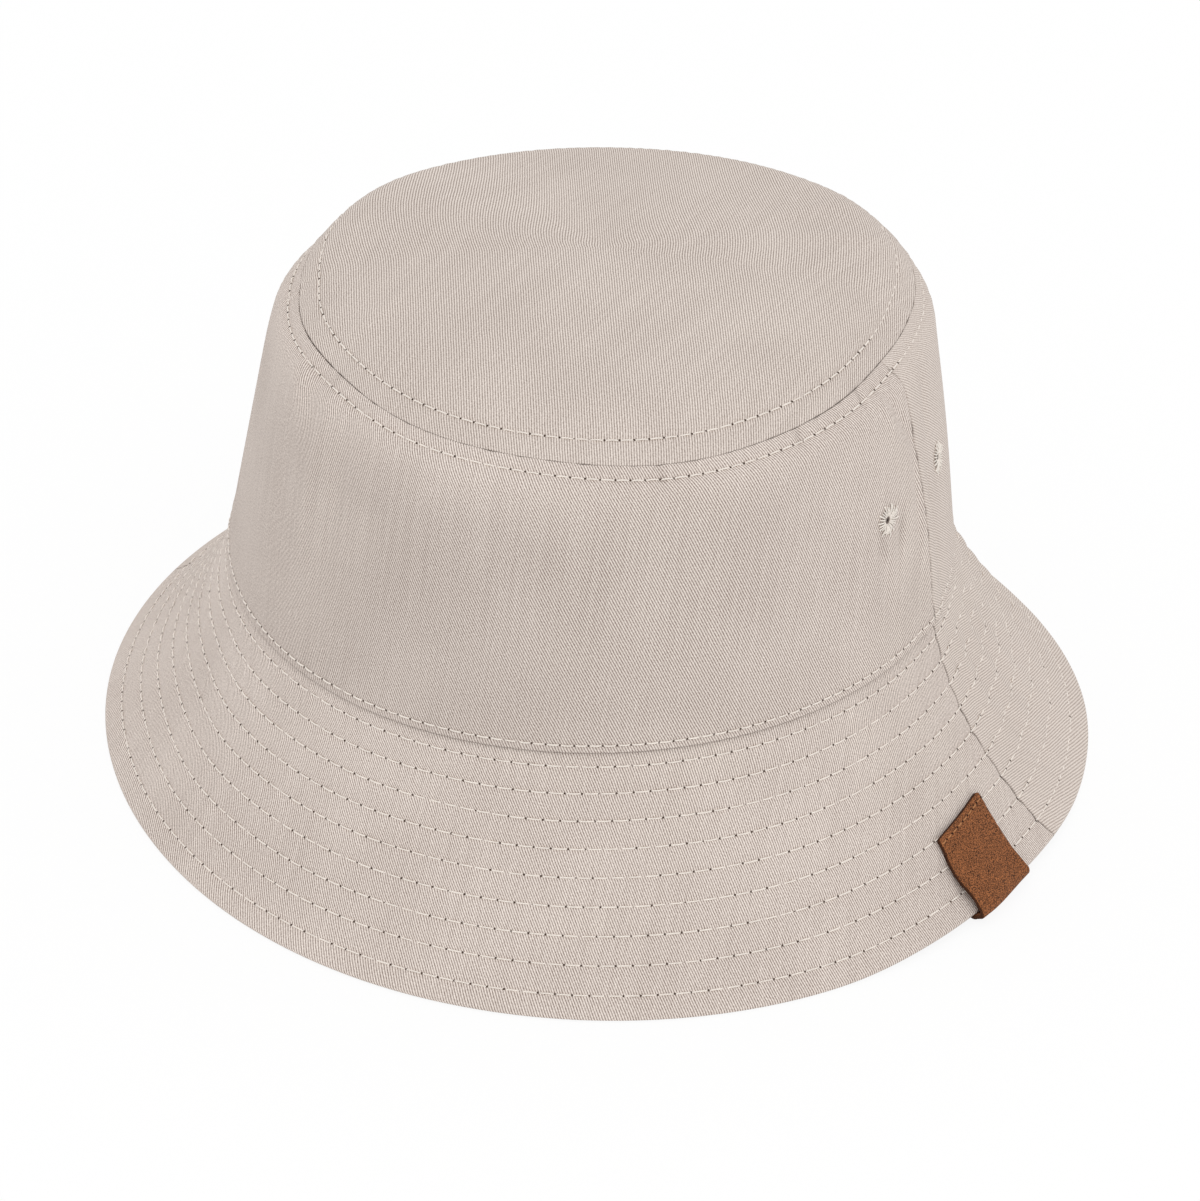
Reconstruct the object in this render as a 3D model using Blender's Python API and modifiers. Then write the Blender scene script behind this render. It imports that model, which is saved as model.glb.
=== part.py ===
"""Bucket hat in cotton twill: crown, stitched double brim, sweatband, air holes, suede tab and label.

The hat stands on its brim's edge at z = 0, with its front towards -Y and a side seam at each end of X.
Places on the cloth are given by an azimuth round the hat and a distance along the cloth from the seam of
crown and brim: positive up the crown, negative down the brim. Depth is measured inward from the outer face.
"""
import math

import bmesh
import bpy
from mathutils import Vector

# Driving dimensions of the form, in metres and degrees
BASE_HALF_WIDTH = 0.0905
BASE_HALF_LENGTH = 0.0962
BRIM_WIDTH = 0.064
BRIM_LEAN_TOP = 12.5
BRIM_LEAN_EDGE = 48.0
BRIM_SIDE_EXTRA = 0.0038
SIDE_PANEL_HEIGHT = 0.072
CROWN_LEAN = 11.4
CROWN_SIDE_EASE = 0.0011
SHOULDER_RADIUS = 0.005
BEVEL_LEAN = 31.5
BEVEL_SPARE = 0.0012
DOME_LEAN = 6.0
DOME_POWER = 8

# Layers
CLOTH = 0.0006
INTERLINING = 0.0005
SWEATBAND = 0.0008
TAPE = 0.0004
SUEDE = 0.001
LABEL = 0.0003
THREAD_RADIUS = 0.0002
GAP = 0.0003

# Bands, tapes and stitch rows
SWEATBAND_HEIGHT = 0.032
TAPE_WIDTH = 0.012
INTERLINING_INSET = 0.003
BASE_ROW_ABOVE_SEAM = 0.0019
TIP_ROW_ABOVE_SEAM = 0.0059
TIP_ROW_BELOW_SEAM = 0.0034
FIRST_ROW_BELOW_SEAM = 0.0037
LAST_ROW_FROM_EDGE = 0.0063
BRIM_ROWS = 9

# Air holes
EYELET_RADIUS = 0.004
EYELET_HOLE_RADIUS = 0.001
EYELET_WALL = 0.0007
EYELET_FLANGE = 0.0004
EYELET_SPACING = 0.030
EYELET_ABOVE_BAND = 0.0013

# Tab and label
TAB_WIDTH = 0.0235
TAB_LEG = 0.021
TAB_FROM_SEAM = 0.0258
TAB_UNDER_CLEARANCE = 0.0005
TAB_GROUND_CLEARANCE = 0.0006
TAB_TURN_ROOM = 0.0018
TAB_ROW_INSET = 0.002
LIFT_RUN = 0.040
LABEL_WIDTH = 0.022
LABEL_LENGTH = 0.024
LABEL_BELOW_BAND_TOP = 0.004

# Fineness of the solids
SEGMENTS = 48
BRIM_STEPS = 7
WALL_STEPS = 2
SHOULDER_STEPS = 3
TAPE_STEPS = 5
DOME_STEPS = 5
DOME_CROWDING = 1.8
EYELET_SEGMENTS = 12
TAB_COLUMNS = 4
SHARP_ANGLE = 40.0
MERGE = 0.00001
NUDGE = 0.0001

# Worked out from the sizes above
LEAN_TOP = math.radians(BRIM_LEAN_TOP)
LEAN_EDGE = math.radians(BRIM_LEAN_EDGE)
BRIM_TURN = (LEAN_EDGE - LEAN_TOP) / BRIM_WIDTH
BRIM_FLARE = (math.cos(LEAN_TOP) - math.cos(LEAN_EDGE)) / BRIM_TURN
BRIM_DROP = (math.sin(LEAN_EDGE) - math.sin(LEAN_TOP)) / BRIM_TURN
WALL_LEAN = math.radians(CROWN_LEAN)
WALL_SLOPE = math.pi / 2 - WALL_LEAN
BEVEL_SLOPE = math.radians(BEVEL_LEAN)
BEVEL_START = SIDE_PANEL_HEIGHT - TIP_ROW_BELOW_SEAM - BEVEL_SPARE
WALL_LENGTH = BEVEL_START - SHOULDER_RADIUS * (WALL_SLOPE - BEVEL_SLOPE)
TIP_RIM = SIDE_PANEL_HEIGHT + TIP_ROW_ABOVE_SEAM + BEVEL_SPARE
DOME_RISE = math.tan(math.radians(DOME_LEAN))
RIM_RISE = math.tan(BEVEL_SLOPE) - DOME_RISE
STEP = 2 * math.pi / SEGMENTS
HALF_GAP = GAP / 2
LAST_ROW = LAST_ROW_FROM_EDGE - BRIM_WIDTH
INTERLINING_DEPTH = CLOTH + GAP
LOWER_DEPTH = INTERLINING_DEPTH + INTERLINING + GAP
BRIM_LAYERS = LOWER_DEPTH + CLOTH
LINING_DEPTH = CLOTH + GAP
FACET_EASE = BASE_HALF_LENGTH * (1 - math.cos(STEP / 2))
EDGE_LIFT = SUEDE + TAB_UNDER_CLEARANCE + TAB_GROUND_CLEARANCE
TAB_STAND = 2 * GAP + 2 * THREAD_RADIUS
TAB_AZIMUTH = -TAB_FROM_SEAM / (BASE_HALF_WIDTH + BRIM_FLARE + BRIM_SIDE_EXTRA)
LIFT_REACH = LIFT_RUN / (BASE_HALF_WIDTH + BRIM_FLARE)


def fresh_collections():
    """Empties the scene and returns the collections for the hat's pieces and for its cutters."""
    for old in list(bpy.data.objects):
        bpy.data.objects.remove(old, do_unlink=True)
    made = []
    for name in ("bucket_hat", "cutters"):
        collection = bpy.data.collections.new(name)
        bpy.context.scene.collection.children.link(collection)
        made.append(collection)
    return made


def finish(name, red, green, blue, roughness):
    """A plain material from an sRGB colour."""
    def linear(value):
        share = value / 255
        return share / 12.92 if share <= 0.04045 else ((share + 0.055) / 1.055) ** 2.4

    material = bpy.data.materials.new(name)
    material.use_nodes = True
    shader = material.node_tree.nodes["Principled BSDF"]
    shader.inputs["Base Color"].default_value = (linear(red), linear(green), linear(blue), 1)
    shader.inputs["Roughness"].default_value = roughness
    shader.inputs["Metallic"].default_value = 0
    return material


def profile(along):
    """Half width, half length and height of the outer face at a distance along the cloth."""
    if along < 0:
        lean = LEAN_TOP - along * BRIM_TURN
        flare = (math.cos(LEAN_TOP) - math.cos(lean)) / BRIM_TURN
        drop = (math.sin(lean) - math.sin(LEAN_TOP)) / BRIM_TURN
        extra = BRIM_SIDE_EXTRA * flare / BRIM_FLARE
        return BASE_HALF_WIDTH + flare + extra, BASE_HALF_LENGTH + flare - extra, BRIM_DROP - drop
    wall = min(along, WALL_LENGTH)
    inward = wall * math.sin(WALL_LEAN)
    ease = CROWN_SIDE_EASE * wall / WALL_LENGTH
    height = BRIM_DROP + wall * math.cos(WALL_LEAN)
    if along > WALL_LENGTH:
        slope = max(WALL_SLOPE - (along - WALL_LENGTH) / SHOULDER_RADIUS, BEVEL_SLOPE)
        inward += SHOULDER_RADIUS * (math.sin(WALL_SLOPE) - math.sin(slope))
        height += SHOULDER_RADIUS * (math.cos(slope) - math.cos(WALL_SLOPE))
    if along > BEVEL_START:
        bevel = min(along, TIP_RIM) - BEVEL_START
        inward += bevel * math.cos(BEVEL_SLOPE)
        height += bevel * math.sin(BEVEL_SLOPE)
    half_width = BASE_HALF_WIDTH - inward + ease
    half_length = BASE_HALF_LENGTH - inward - ease
    if along > TIP_RIM:
        reach = (half_width + half_length) / 2
        share = 1 - (along - TIP_RIM) / reach
        height += reach * DOME_RISE / 2 * (1 - share ** 2)
        height += reach * RIM_RISE / DOME_POWER * (1 - share ** DOME_POWER)
        return half_width * share, half_length * share, height
    return half_width, half_length, height


def outer_point(azimuth, along):
    """A point on the outer face. The brim's edge rises a little where the tab passes under it."""
    half_width, half_length, height = profile(along)
    if along < 0:
        away = math.remainder(azimuth - TAB_AZIMUTH, 2 * math.pi) / LIFT_REACH
        height += EDGE_LIFT * (along / BRIM_WIDTH) ** 2 * math.exp(-away ** 4)
    return Vector((half_width * math.cos(azimuth), half_length * math.sin(azimuth), height))


def outward(azimuth, along):
    """Unit normal of the outer face."""
    around = outer_point(azimuth + NUDGE, along) - outer_point(azimuth - NUDGE, along)
    up = outer_point(azimuth, along + NUDGE) - outer_point(azimuth, along - NUDGE)
    return around.cross(up).normalized()


def cloth_point(azimuth, along, depth):
    return outer_point(azimuth, along) - outward(azimuth, along) * depth


def spread(first, last, steps):
    """Evenly spaced values from first to last, both included."""
    return [first + (last - first) * index / steps for index in range(steps + 1)]


def crowded(first, last, steps):
    """Values from first to last, both included, closer together near the first."""
    return [first + (last - first) * (index / steps) ** DOME_CROWDING for index in range(steps + 1)]


def add_object(name, data, material, collection):
    piece = bpy.data.objects.new(name, data)
    if material:
        data.materials.append(material)
    collection.objects.link(piece)
    return piece


def as_mesh(model, name):
    mesh = bpy.data.meshes.new(name)
    model.to_mesh(mesh)
    model.free()
    return mesh


def sheet(name, columns, rows, place, thickness, material, closed=False):
    """A sheet whose corner (column, row) lies at place(column, row), thickened behind its face."""
    model = bmesh.new()
    bmesh.ops.create_grid(model, x_segments=columns, y_segments=rows, size=1)
    for corner in model.verts:
        column = round((corner.co.x + 1) / 2 * columns)
        row = round((corner.co.y + 1) / 2 * rows)
        corner.co = place(column, row)
    if closed:
        bmesh.ops.remove_doubles(model, verts=model.verts, dist=MERGE)
    mesh = as_mesh(model, name)
    mesh.shade_smooth()
    mesh.set_sharp_from_angle(angle=math.radians(SHARP_ANGLE))
    piece = add_object(name, mesh, material, HAT)
    solid = piece.modifiers.new("thickness", "SOLIDIFY")
    solid.thickness = thickness
    solid.offset = -1
    solid.use_even_offset = True
    return piece


def ring(name, alongs, depth, thickness, material):
    """A closed band of cloth round the hat."""
    def place(column, row):
        return cloth_point(column * STEP, alongs[row], depth)

    return sheet(name, SEGMENTS, len(alongs) - 1, place, thickness, material, closed=True)


def half_azimuth(column, start, along):
    """Azimuth of a half panel's column, its two ends drawn back by half the gap of the side seams."""
    slit = HALF_GAP / profile(along)[0]
    draw_back = {0: slit, SEGMENTS // 2: -slit}
    return start + column * STEP + draw_back.get(column, 0)


def half_panel(name, start, alongs, depth, material):
    """A panel of cloth that goes half way round, from one side seam to the other."""
    def place(column, row):
        return cloth_point(half_azimuth(column, start, alongs[row]), alongs[row], depth)

    return sheet(name, SEGMENTS // 2, len(alongs) - 1, place, CLOTH, material)


def cut(piece, cutter):
    boolean = piece.modifiers.new("cut", "BOOLEAN")
    boolean.operation = "DIFFERENCE"
    boolean.object = cutter


def add_cutter(name, model):
    cutter = add_object(name, as_mesh(model, name), None, CUTTERS)
    cutter.hide_render = True
    cutter.display_type = "WIRE"
    return cutter


def edge_room(layers_above):
    """Distance from the brim's edge at which a layer ends, so that it clears the turned edge."""
    clear = CLOTH + GAP + layers_above * math.sin(LEAN_EDGE)
    return clear / math.cos(LEAN_EDGE)


def make_crown(cloth):
    """Tip and side panels."""
    shoulder = spread(WALL_LENGTH, BEVEL_START, SHOULDER_STEPS)
    side_rows = spread(HALF_GAP, WALL_LENGTH, WALL_STEPS)[:-1] + shoulder + [SIDE_PANEL_HEIGHT - HALF_GAP]
    front = half_panel("crown_side_front", -math.pi, side_rows, 0, cloth)
    back = half_panel("crown_side_back", 0, side_rows, 0, cloth)
    half_width, half_length, _ = profile(TIP_RIM)
    centre = TIP_RIM + (half_width + half_length) / 2
    tip_rows = [SIDE_PANEL_HEIGHT + HALF_GAP] + crowded(TIP_RIM, centre, DOME_STEPS)

    def place(column, row):
        return outer_point(column * STEP, tip_rows[row])

    sheet("crown_tip", SEGMENTS, len(tip_rows) - 1, place, CLOTH, cloth, closed=True)
    return front, back


def make_brim(cloth, lining):
    """Upper cloth, interlining, and under cloth with its edge turned out flat below the other two."""
    upper_rows = spread(edge_room(CLOTH) - BRIM_WIDTH, -HALF_GAP, BRIM_STEPS)
    lining_end = edge_room(INTERLINING_DEPTH + INTERLINING) - BRIM_WIDTH
    ring("brim_interlining", spread(lining_end, -INTERLINING_INSET, BRIM_STEPS), INTERLINING_DEPTH,
         INTERLINING, lining)
    corner = (CLOTH + LOWER_DEPTH * math.sin(LEAN_EDGE)) / math.cos(LEAN_EDGE) - BRIM_WIDTH
    lower_rows = [-BRIM_WIDTH] + spread(corner, -HALF_GAP, BRIM_STEPS)
    hem_top = CLOTH - HALF_GAP
    half_block = BASE_HALF_LENGTH + 2 * BRIM_WIDTH
    model = bmesh.new()
    bmesh.ops.create_cube(model, size=2 * half_block)
    bmesh.ops.translate(model, verts=model.verts, vec=(0, 0, -half_block))
    ground = add_cutter("ground", model)

    for side, start in (("front", -math.pi), ("back", 0)):
        half_panel("brim_upper_" + side, start, upper_rows, 0, cloth)

        def place(column, row, start=start):
            along = lower_rows[row]
            azimuth = half_azimuth(column, start, along)
            point = cloth_point(azimuth, along, LOWER_DEPTH if row else 0)
            if row < 2:
                point.z = outer_point(azimuth, -BRIM_WIDTH).z + hem_top
            return point

        lower = sheet("brim_lower_" + side, SEGMENTS // 2, len(lower_rows) - 1, place, CLOTH, cloth)
        cut(lower, ground)


def make_inside(cloth, tape):
    """Sweatband and the tapes over the seams."""
    ring("sweatband", spread(HALF_GAP, SWEATBAND_HEIGHT, 2), LINING_DEPTH, SWEATBAND, cloth)
    low = SIDE_PANEL_HEIGHT - TAPE_WIDTH / 2
    high = SIDE_PANEL_HEIGHT + TAPE_WIDTH / 2
    ring("tip_seam_tape", spread(low, high, TAPE_STEPS), LINING_DEPTH, TAPE, tape)
    rows = spread(SWEATBAND_HEIGHT + GAP, low - GAP, WALL_STEPS)
    for side, seam in (("right", 0), ("left", math.pi)):
        def place(column, row, seam=seam):
            turn = (column - 1) * TAPE_WIDTH / 2 / profile(rows[row])[0]
            return cloth_point(seam + turn, rows[row], LINING_DEPTH + FACET_EASE)

        sheet("side_seam_tape_" + side, 2, WALL_STEPS, place, TAPE, tape)


def make_eyelets(front, back, thread):
    """Embroidered air holes: thread rings that clasp the edge of a hole in the crown side."""
    along = SWEATBAND_HEIGHT + EYELET_RADIUS + EYELET_ABOVE_BAND
    barrel = EYELET_HOLE_RADIUS + EYELET_WALL
    over = GAP
    under = -CLOTH - GAP - FACET_EASE
    outline = [(EYELET_RADIUS, over + EYELET_FLANGE), (EYELET_RADIUS, over), (barrel, over), (barrel, under),
               (EYELET_RADIUS, under), (EYELET_RADIUS, under - EYELET_FLANGE),
               (EYELET_HOLE_RADIUS, under - EYELET_FLANGE), (EYELET_HOLE_RADIUS, over + EYELET_FLANGE)]
    turn = EYELET_SPACING / 2 / profile(along)[0]
    places = (("right_front", -turn, front), ("right_back", turn, back),
              ("left_front", math.pi + turn, front), ("left_back", math.pi - turn, back))
    for place, azimuth, panel in places:
        point = outer_point(azimuth, along)
        normal = outward(azimuth, along)
        turned = normal.to_track_quat("Z", "Y").to_euler()

        model = bmesh.new()
        corners = [model.verts.new((radius, 0, height)) for radius, height in outline]
        for index, corner in enumerate(corners):
            model.edges.new((corner, corners[(index + 1) % len(corners)]))
        name = "eyelet_" + place
        eyelet = add_object(name, as_mesh(model, name), thread, HAT)
        eyelet.location = point
        eyelet.rotation_euler = turned
        screw = eyelet.modifiers.new("turned", "SCREW")
        screw.steps = EYELET_SEGMENTS
        screw.render_steps = EYELET_SEGMENTS
        screw.use_merge_vertices = True
        screw.merge_threshold = MERGE

        model = bmesh.new()
        bmesh.ops.create_cone(model, cap_ends=True, segments=EYELET_SEGMENTS, depth=2 * EYELET_RADIUS,
                              radius1=barrel + GAP, radius2=barrel + GAP)
        hole = add_cutter("hole_" + place, model)
        hole.location = point
        hole.rotation_euler = turned
        cut(panel, hole)


def thread_curve(name, points, closed, material):
    """A thread lying along the points."""
    curve = bpy.data.curves.new(name, "CURVE")
    curve.dimensions = "3D"
    curve.bevel_depth = THREAD_RADIUS
    curve.bevel_resolution = 0
    curve.use_fill_caps = True
    spline = curve.splines.new("POLY")
    spline.points.add(len(points) - 1)
    for knot, point in zip(spline.points, points):
        knot.co = (*point, 1)
    spline.use_cyclic_u = closed
    return add_object(name, curve, material, HAT)


def make_stitch_rows(thread):
    """Closed rows of thread lying on the cloth."""
    brim_rows = spread(-FIRST_ROW_BELOW_SEAM, LAST_ROW, BRIM_ROWS - 1)
    rows = {"tip_stitch_upper": SIDE_PANEL_HEIGHT + TIP_ROW_ABOVE_SEAM,
            "tip_stitch_lower": SIDE_PANEL_HEIGHT - TIP_ROW_BELOW_SEAM,
            "crown_base_stitch": BASE_ROW_ABOVE_SEAM}
    for number, along in enumerate(brim_rows, 1):
        rows["brim_stitch_%d" % number] = along
    for name, along in rows.items():
        points = [cloth_point(index * STEP, along, -GAP - THREAD_RADIUS) for index in range(SEGMENTS)]
        thread_curve(name, points, True, thread)


def make_tab(suede, thread):
    """Suede tab, down the upper brim, round the edge and up the under brim, and its row of thread."""
    top = TAB_LEG - BRIM_WIDTH
    hem_reach = BRIM_LAYERS / math.cos(LEAN_EDGE)
    under_depth = BRIM_LAYERS + TAB_UNDER_CLEARANCE + FACET_EASE
    upper_leg = spread(top, LAST_ROW - 4 * THREAD_RADIUS, 3)
    under_leg = spread(hem_reach + TAB_TURN_ROOM - BRIM_WIDTH, top, 3)
    half_turn = TAB_WIDTH / 2 / profile(-BRIM_WIDTH)[0]
    turns = spread(TAB_AZIMUTH - half_turn, TAB_AZIMUTH + half_turn, TAB_COLUMNS)

    def round_the_edge(azimuth):
        edge = outer_point(azimuth, -BRIM_WIDTH)
        level = outward(azimuth, -BRIM_WIDTH) * Vector((1, 1, 0))
        level.normalize()
        down = Vector((0, 0, -TAB_UNDER_CLEARANCE))
        return [cloth_point(azimuth, -BRIM_WIDTH, -GAP), edge + level * GAP + down,
                edge - level * hem_reach + down]

    def path(azimuth):
        return ([cloth_point(azimuth, along, -TAB_STAND) for along in upper_leg] + round_the_edge(azimuth)
                + [cloth_point(azimuth, along, under_depth) for along in under_leg])

    paths = [path(azimuth) for azimuth in turns]
    sheet("suede_tab", TAB_COLUMNS, len(paths[0]) - 1, lambda column, row: paths[column][row], SUEDE, suede)
    row_depth = -TAB_STAND - SUEDE - GAP - THREAD_RADIUS
    row_turn = half_turn - TAB_ROW_INSET / profile(-BRIM_WIDTH)[0]
    row_turns = spread(TAB_AZIMUTH - row_turn, TAB_AZIMUTH + row_turn, TAB_COLUMNS)
    points = [cloth_point(azimuth, top - TAB_ROW_INSET, row_depth) for azimuth in row_turns]
    thread_curve("tab_stitch", points, False, thread)


def make_label(tape):
    """Blank label hanging inside the back, its origin on the sewn top edge that it swings on."""
    along = SWEATBAND_HEIGHT - LABEL_BELOW_BAND_TOP
    half_turn = LABEL_WIDTH / 2 / profile(along)[0]
    seat = cloth_point(math.pi / 2 - half_turn, along, LINING_DEPTH + SWEATBAND + GAP + FACET_EASE)
    model = bmesh.new()
    bmesh.ops.create_cube(model, size=1)
    bmesh.ops.scale(model, verts=model.verts, vec=(LABEL_WIDTH, LABEL, LABEL_LENGTH))
    bmesh.ops.translate(model, verts=model.verts, vec=(0, 0, -LABEL_LENGTH / 2))
    label = add_object("care_label", as_mesh(model, "care_label"), tape, HAT)
    label.location = (0, seat.y - LABEL / 2, seat.z)


HAT, CUTTERS = fresh_collections()


def main():
    twill = finish("stone_twill", 202, 191, 182, 0.9)
    lining = finish("white_interlining", 225, 221, 214, 0.95)
    tape = finish("pale_tape", 214, 206, 198, 0.85)
    thread = finish("pale_thread", 216, 207, 198, 0.7)
    suede = finish("brown_suede", 129, 83, 54, 0.95)
    brown_thread = finish("brown_thread", 110, 68, 42, 0.75)
    front, back = make_crown(twill)
    make_brim(twill, lining)
    make_inside(twill, tape)
    make_eyelets(front, back, thread)
    make_stitch_rows(thread)
    make_tab(suede, brown_thread)
    make_label(tape)


main()
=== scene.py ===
"""Looks of a stone twill bucket hat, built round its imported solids.

The hat stands on its brim's edge at z = 0, with its front towards -Y and a side seam at each end of X.
Places on the cloth are an azimuth round the hat and a distance along the cloth from the seam of crown and
brim: positive up the crown, negative down the brim. Depth is measured inward from the outer face.
Sizes are in metres and angles in radians, apart from the tables that say otherwise.
"""
from math import cos, degrees, pi, radians, sin, sqrt, tan

import bpy
import numpy as np
from mathutils import Matrix, Vector


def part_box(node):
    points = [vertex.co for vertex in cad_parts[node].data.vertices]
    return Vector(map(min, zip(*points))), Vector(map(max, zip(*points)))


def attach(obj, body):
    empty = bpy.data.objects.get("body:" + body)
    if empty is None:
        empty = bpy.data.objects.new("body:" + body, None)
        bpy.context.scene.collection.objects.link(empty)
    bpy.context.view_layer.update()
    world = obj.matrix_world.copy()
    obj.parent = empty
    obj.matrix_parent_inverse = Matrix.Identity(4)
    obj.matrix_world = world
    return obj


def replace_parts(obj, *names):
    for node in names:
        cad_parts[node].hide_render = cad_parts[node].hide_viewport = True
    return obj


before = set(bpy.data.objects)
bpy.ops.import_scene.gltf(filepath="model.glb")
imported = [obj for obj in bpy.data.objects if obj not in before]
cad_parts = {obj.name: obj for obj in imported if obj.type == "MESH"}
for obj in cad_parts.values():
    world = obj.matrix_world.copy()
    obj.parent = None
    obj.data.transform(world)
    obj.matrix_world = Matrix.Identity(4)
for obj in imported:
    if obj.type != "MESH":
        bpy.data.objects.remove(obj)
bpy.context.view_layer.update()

# Driving sizes of the hat, the same as in its solids
BASE_HALF_WIDTH = 0.0905
BASE_HALF_LENGTH = 0.0962
BRIM_WIDTH = 0.064
LEAN_TOP = radians(12.5)
LEAN_EDGE = radians(48)
BRIM_SIDE_EXTRA = 0.0038
SIDE_PANEL_HEIGHT = 0.072
WALL_LEAN = radians(11.4)
CROWN_SIDE_EASE = 0.0011
SHOULDER_RADIUS = 0.005
BEVEL_SLOPE = radians(31.5)
BEVEL_SPARE = 0.0012
DOME_RISE = tan(radians(6))
DOME_POWER = 8
SWEATBAND_HEIGHT = 0.032
TAPE_WIDTH = 0.012
TAB_LEG = 0.021
TAB_FROM_SEAM = 0.0258
EYELET_RADIUS = 0.004
EYELET_SPACING = 0.030
EYELET_ABOVE_BAND = 0.0013
LABEL_WIDTH = 0.022
LABEL_LENGTH = 0.024
GAP = 0.0003

# Layers of the sewn cloth, as depths of their outer faces and thicknesses
CLOTH = 0.00045
INTERLINING_DEPTH = 0.0009
INTERLINING = 0.0005
INTERLINING_ENDS = 0.0045 - BRIM_WIDTH, -0.003
BRIM_LAYERS = 0.0023
LINING_DEPTH = 0.0009
SWEATBAND = 0.0008
BAND_FOOT = 0.0002
TAPE = 0.0004
SUEDE = 0.001
LABEL = 0.00025

# Sewn rows: places, stitch lengths, thread, and the dark discs of painted shade in the needle holes
BRIM_ROWS = 9
FIRST_ROW_BELOW_SEAM = 0.0037
LAST_ROW_FROM_EDGE = 0.0063
BASE_ROW_ABOVE_SEAM = 0.0019
TIP_ROW_ABOVE_SEAM = 0.0059
TIP_ROW_BELOW_SEAM = 0.0034
BRIM_PITCH = 0.0040
BASE_PITCH = 0.0033
TIP_PITCH = 0.0034
TAB_PITCH = 0.0024
LABEL_PITCH = 0.0022
ROW_START = 0.02
ROW_POINTS = 720
UNDER_ROW_SINK = 0.6
THREAD_RADIUS = 0.00021
THREAD_STAND = 0.00003
STITCH_SHARE = 0.93
STITCH_BOW = 0.00018
STITCH_DIP = 0.0002
STITCH_SUNK = 0.00026
STITCH_STEPS = 5
STITCH_SCALES = (0.93, 0.85, 0.8), (1.03, 1.1, 1.15)
HOLE_SHADE_RADIUS = 0.00028
HOLE_SHADE_LIFT = 0.00007
TAB_ROW_INSET = 0.0016
TAB_STITCH_SHARE = 0.72
TAB_BOW = 0.00012
TAB_ROW_SEED = 40
LABEL_ROW_INSET = 0.0016
LABEL_ROW_STAND = 0.0001
LABEL_BOW = 0.00008
LABEL_ROW_SEED = 41
EYELET_THREADS = 28
EYELET_THREAD = 0.00018
EYELET_BOW = 0.00034
EYELET_LOW = -1.6 * EYELET_BOW
EYELET_HIGH = 3 * EYELET_BOW
EYELET_MIDDLE = 0.45 * EYELET_RADIUS
EYELET_INNER = 0.0009
EYELET_SPOKES = 0.00001
EYELET_STEPS = 7
EYELET_SCALES = (0.75, 0.9, 0.7), (1.12, 1.2, 1.2)
EYELET_HOLE = 0.0004

# Fine form of the cloth
FURROW_DEPTH = 0.00026
FURROW_REACH = 0.0008
UNDER_FURROW_SHARE = 0.7
QUILT_RISE = 0.00018
SEAM_ROLL = 0.0006
SEAM_REACH = 0.00045
SEAM_CLEAR = 0.00003
BRIM_ROLL_RUN = 0.003
CROWN_ROLL_SHARE = 0.5
CROWN_ROLL_RUN = 0.001
LEDGE = 0.00048
LEDGE_RUN = 0.009
LEDGE_LOSS = 0.6
FOLD_RADIUS = 0.0003
FOLD_TURN = radians(150)
FOLD_STEPS = 8
TUCK_DEPTH = 0.0004
TUCK_RUN = 0.0026
TUCK_TOP = 0.004
ALLOWANCE_RISE = 0.00025
ALLOWANCE_RUN = 0.002
PUCKER_REACH = 0.006
TIP_RIPPLE_RUN = 0.02
TIP_MIDDLE = 0.003
TIP_GRAIN = radians(4)
EDGE_ROLL = 0.0007
EDGE_STEPS = 9
EDGE_TURN = 0.0019
EDGE_REACH = 0.0011
EDGE_REACH_RUN = 0.009
EDGE_RELIEF_RUN = 0.002
EDGE_LIFT = 0.0021
LIFT_RUN = 0.040
EDGE_SWING = 0.0012
SWING_AZIMUTH = radians(-45)
UNDER_TOP = -0.0002
UNDER_END = 0.003 - BRIM_WIDTH

# Rows of the edge's level foot, as moves inward and up
EDGE_FOOT = ((0.0015, 0.00012), (0.001, 0.00003), (0.0005, 0.0))

# Rows of the under brim's hem: moves inward and up from the foot, and places below the panel's first row
HEM = ((0.0017, 0.0004, 0.0014), (0.0018, 0.0001, 0.001), (0.0024, 0.00008, 0.0005))

# The slouched back of the crown, which bends in above the sweatband and folds inside the tip
BACK_AZIMUTH = radians(111.5)
BACK_TURN = radians(98.3)
BACK_ONSET = radians(50)
BACK_LEAN_LEAST = radians(3.8)
BACK_LEAN_MOST = radians(40.2)
BACK_LEAN_POWER = 0.7
BACK_BEND = 0.026
BACK_BEND_RUN = 0.044
BACK_FOLD = 0.077
BACK_FOLD_END = 0.086
BACK_DOME = radians(10)
BACK_STEPS = 800

# Shape of the suede strip: outline, stand from the cloth, wave, turn and leg under the brim
TAB_WIDTH = 0.0224
TAB_LONGER = 0.0016
TAB_SHORT_CORNER = 0.0026
TAB_TOP_SHIFT = 0.0007
TAB_EDGE_SHIFT = -0.0017
TAB_ROUND = 0.001
TAB_STAND = 0.0004
TAB_FLARE = 0.0012
TAB_LOOSE = 1.7
TAB_WAVE = 0.0004
TAB_WAVES = 1.2
TAB_WAVE_START = 0.1
TAB_EDGE_LEFT = 0.001
TAB_TURN = radians(38), radians(-100)
TAB_TURN_RUN = 0.8
TAB_DROP = 0.0003
TAB_UNDER = 0.0005
TAB_UNDER_START = 0.0056
TAB_SHARES = np.concatenate([np.linspace(0, 0.08, 6), np.linspace(0.1, 1, 34)])

# Bows of the label, along it and across its free end
LABEL_BEND = 0.0005
LABEL_CURL = 0.0004

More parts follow.
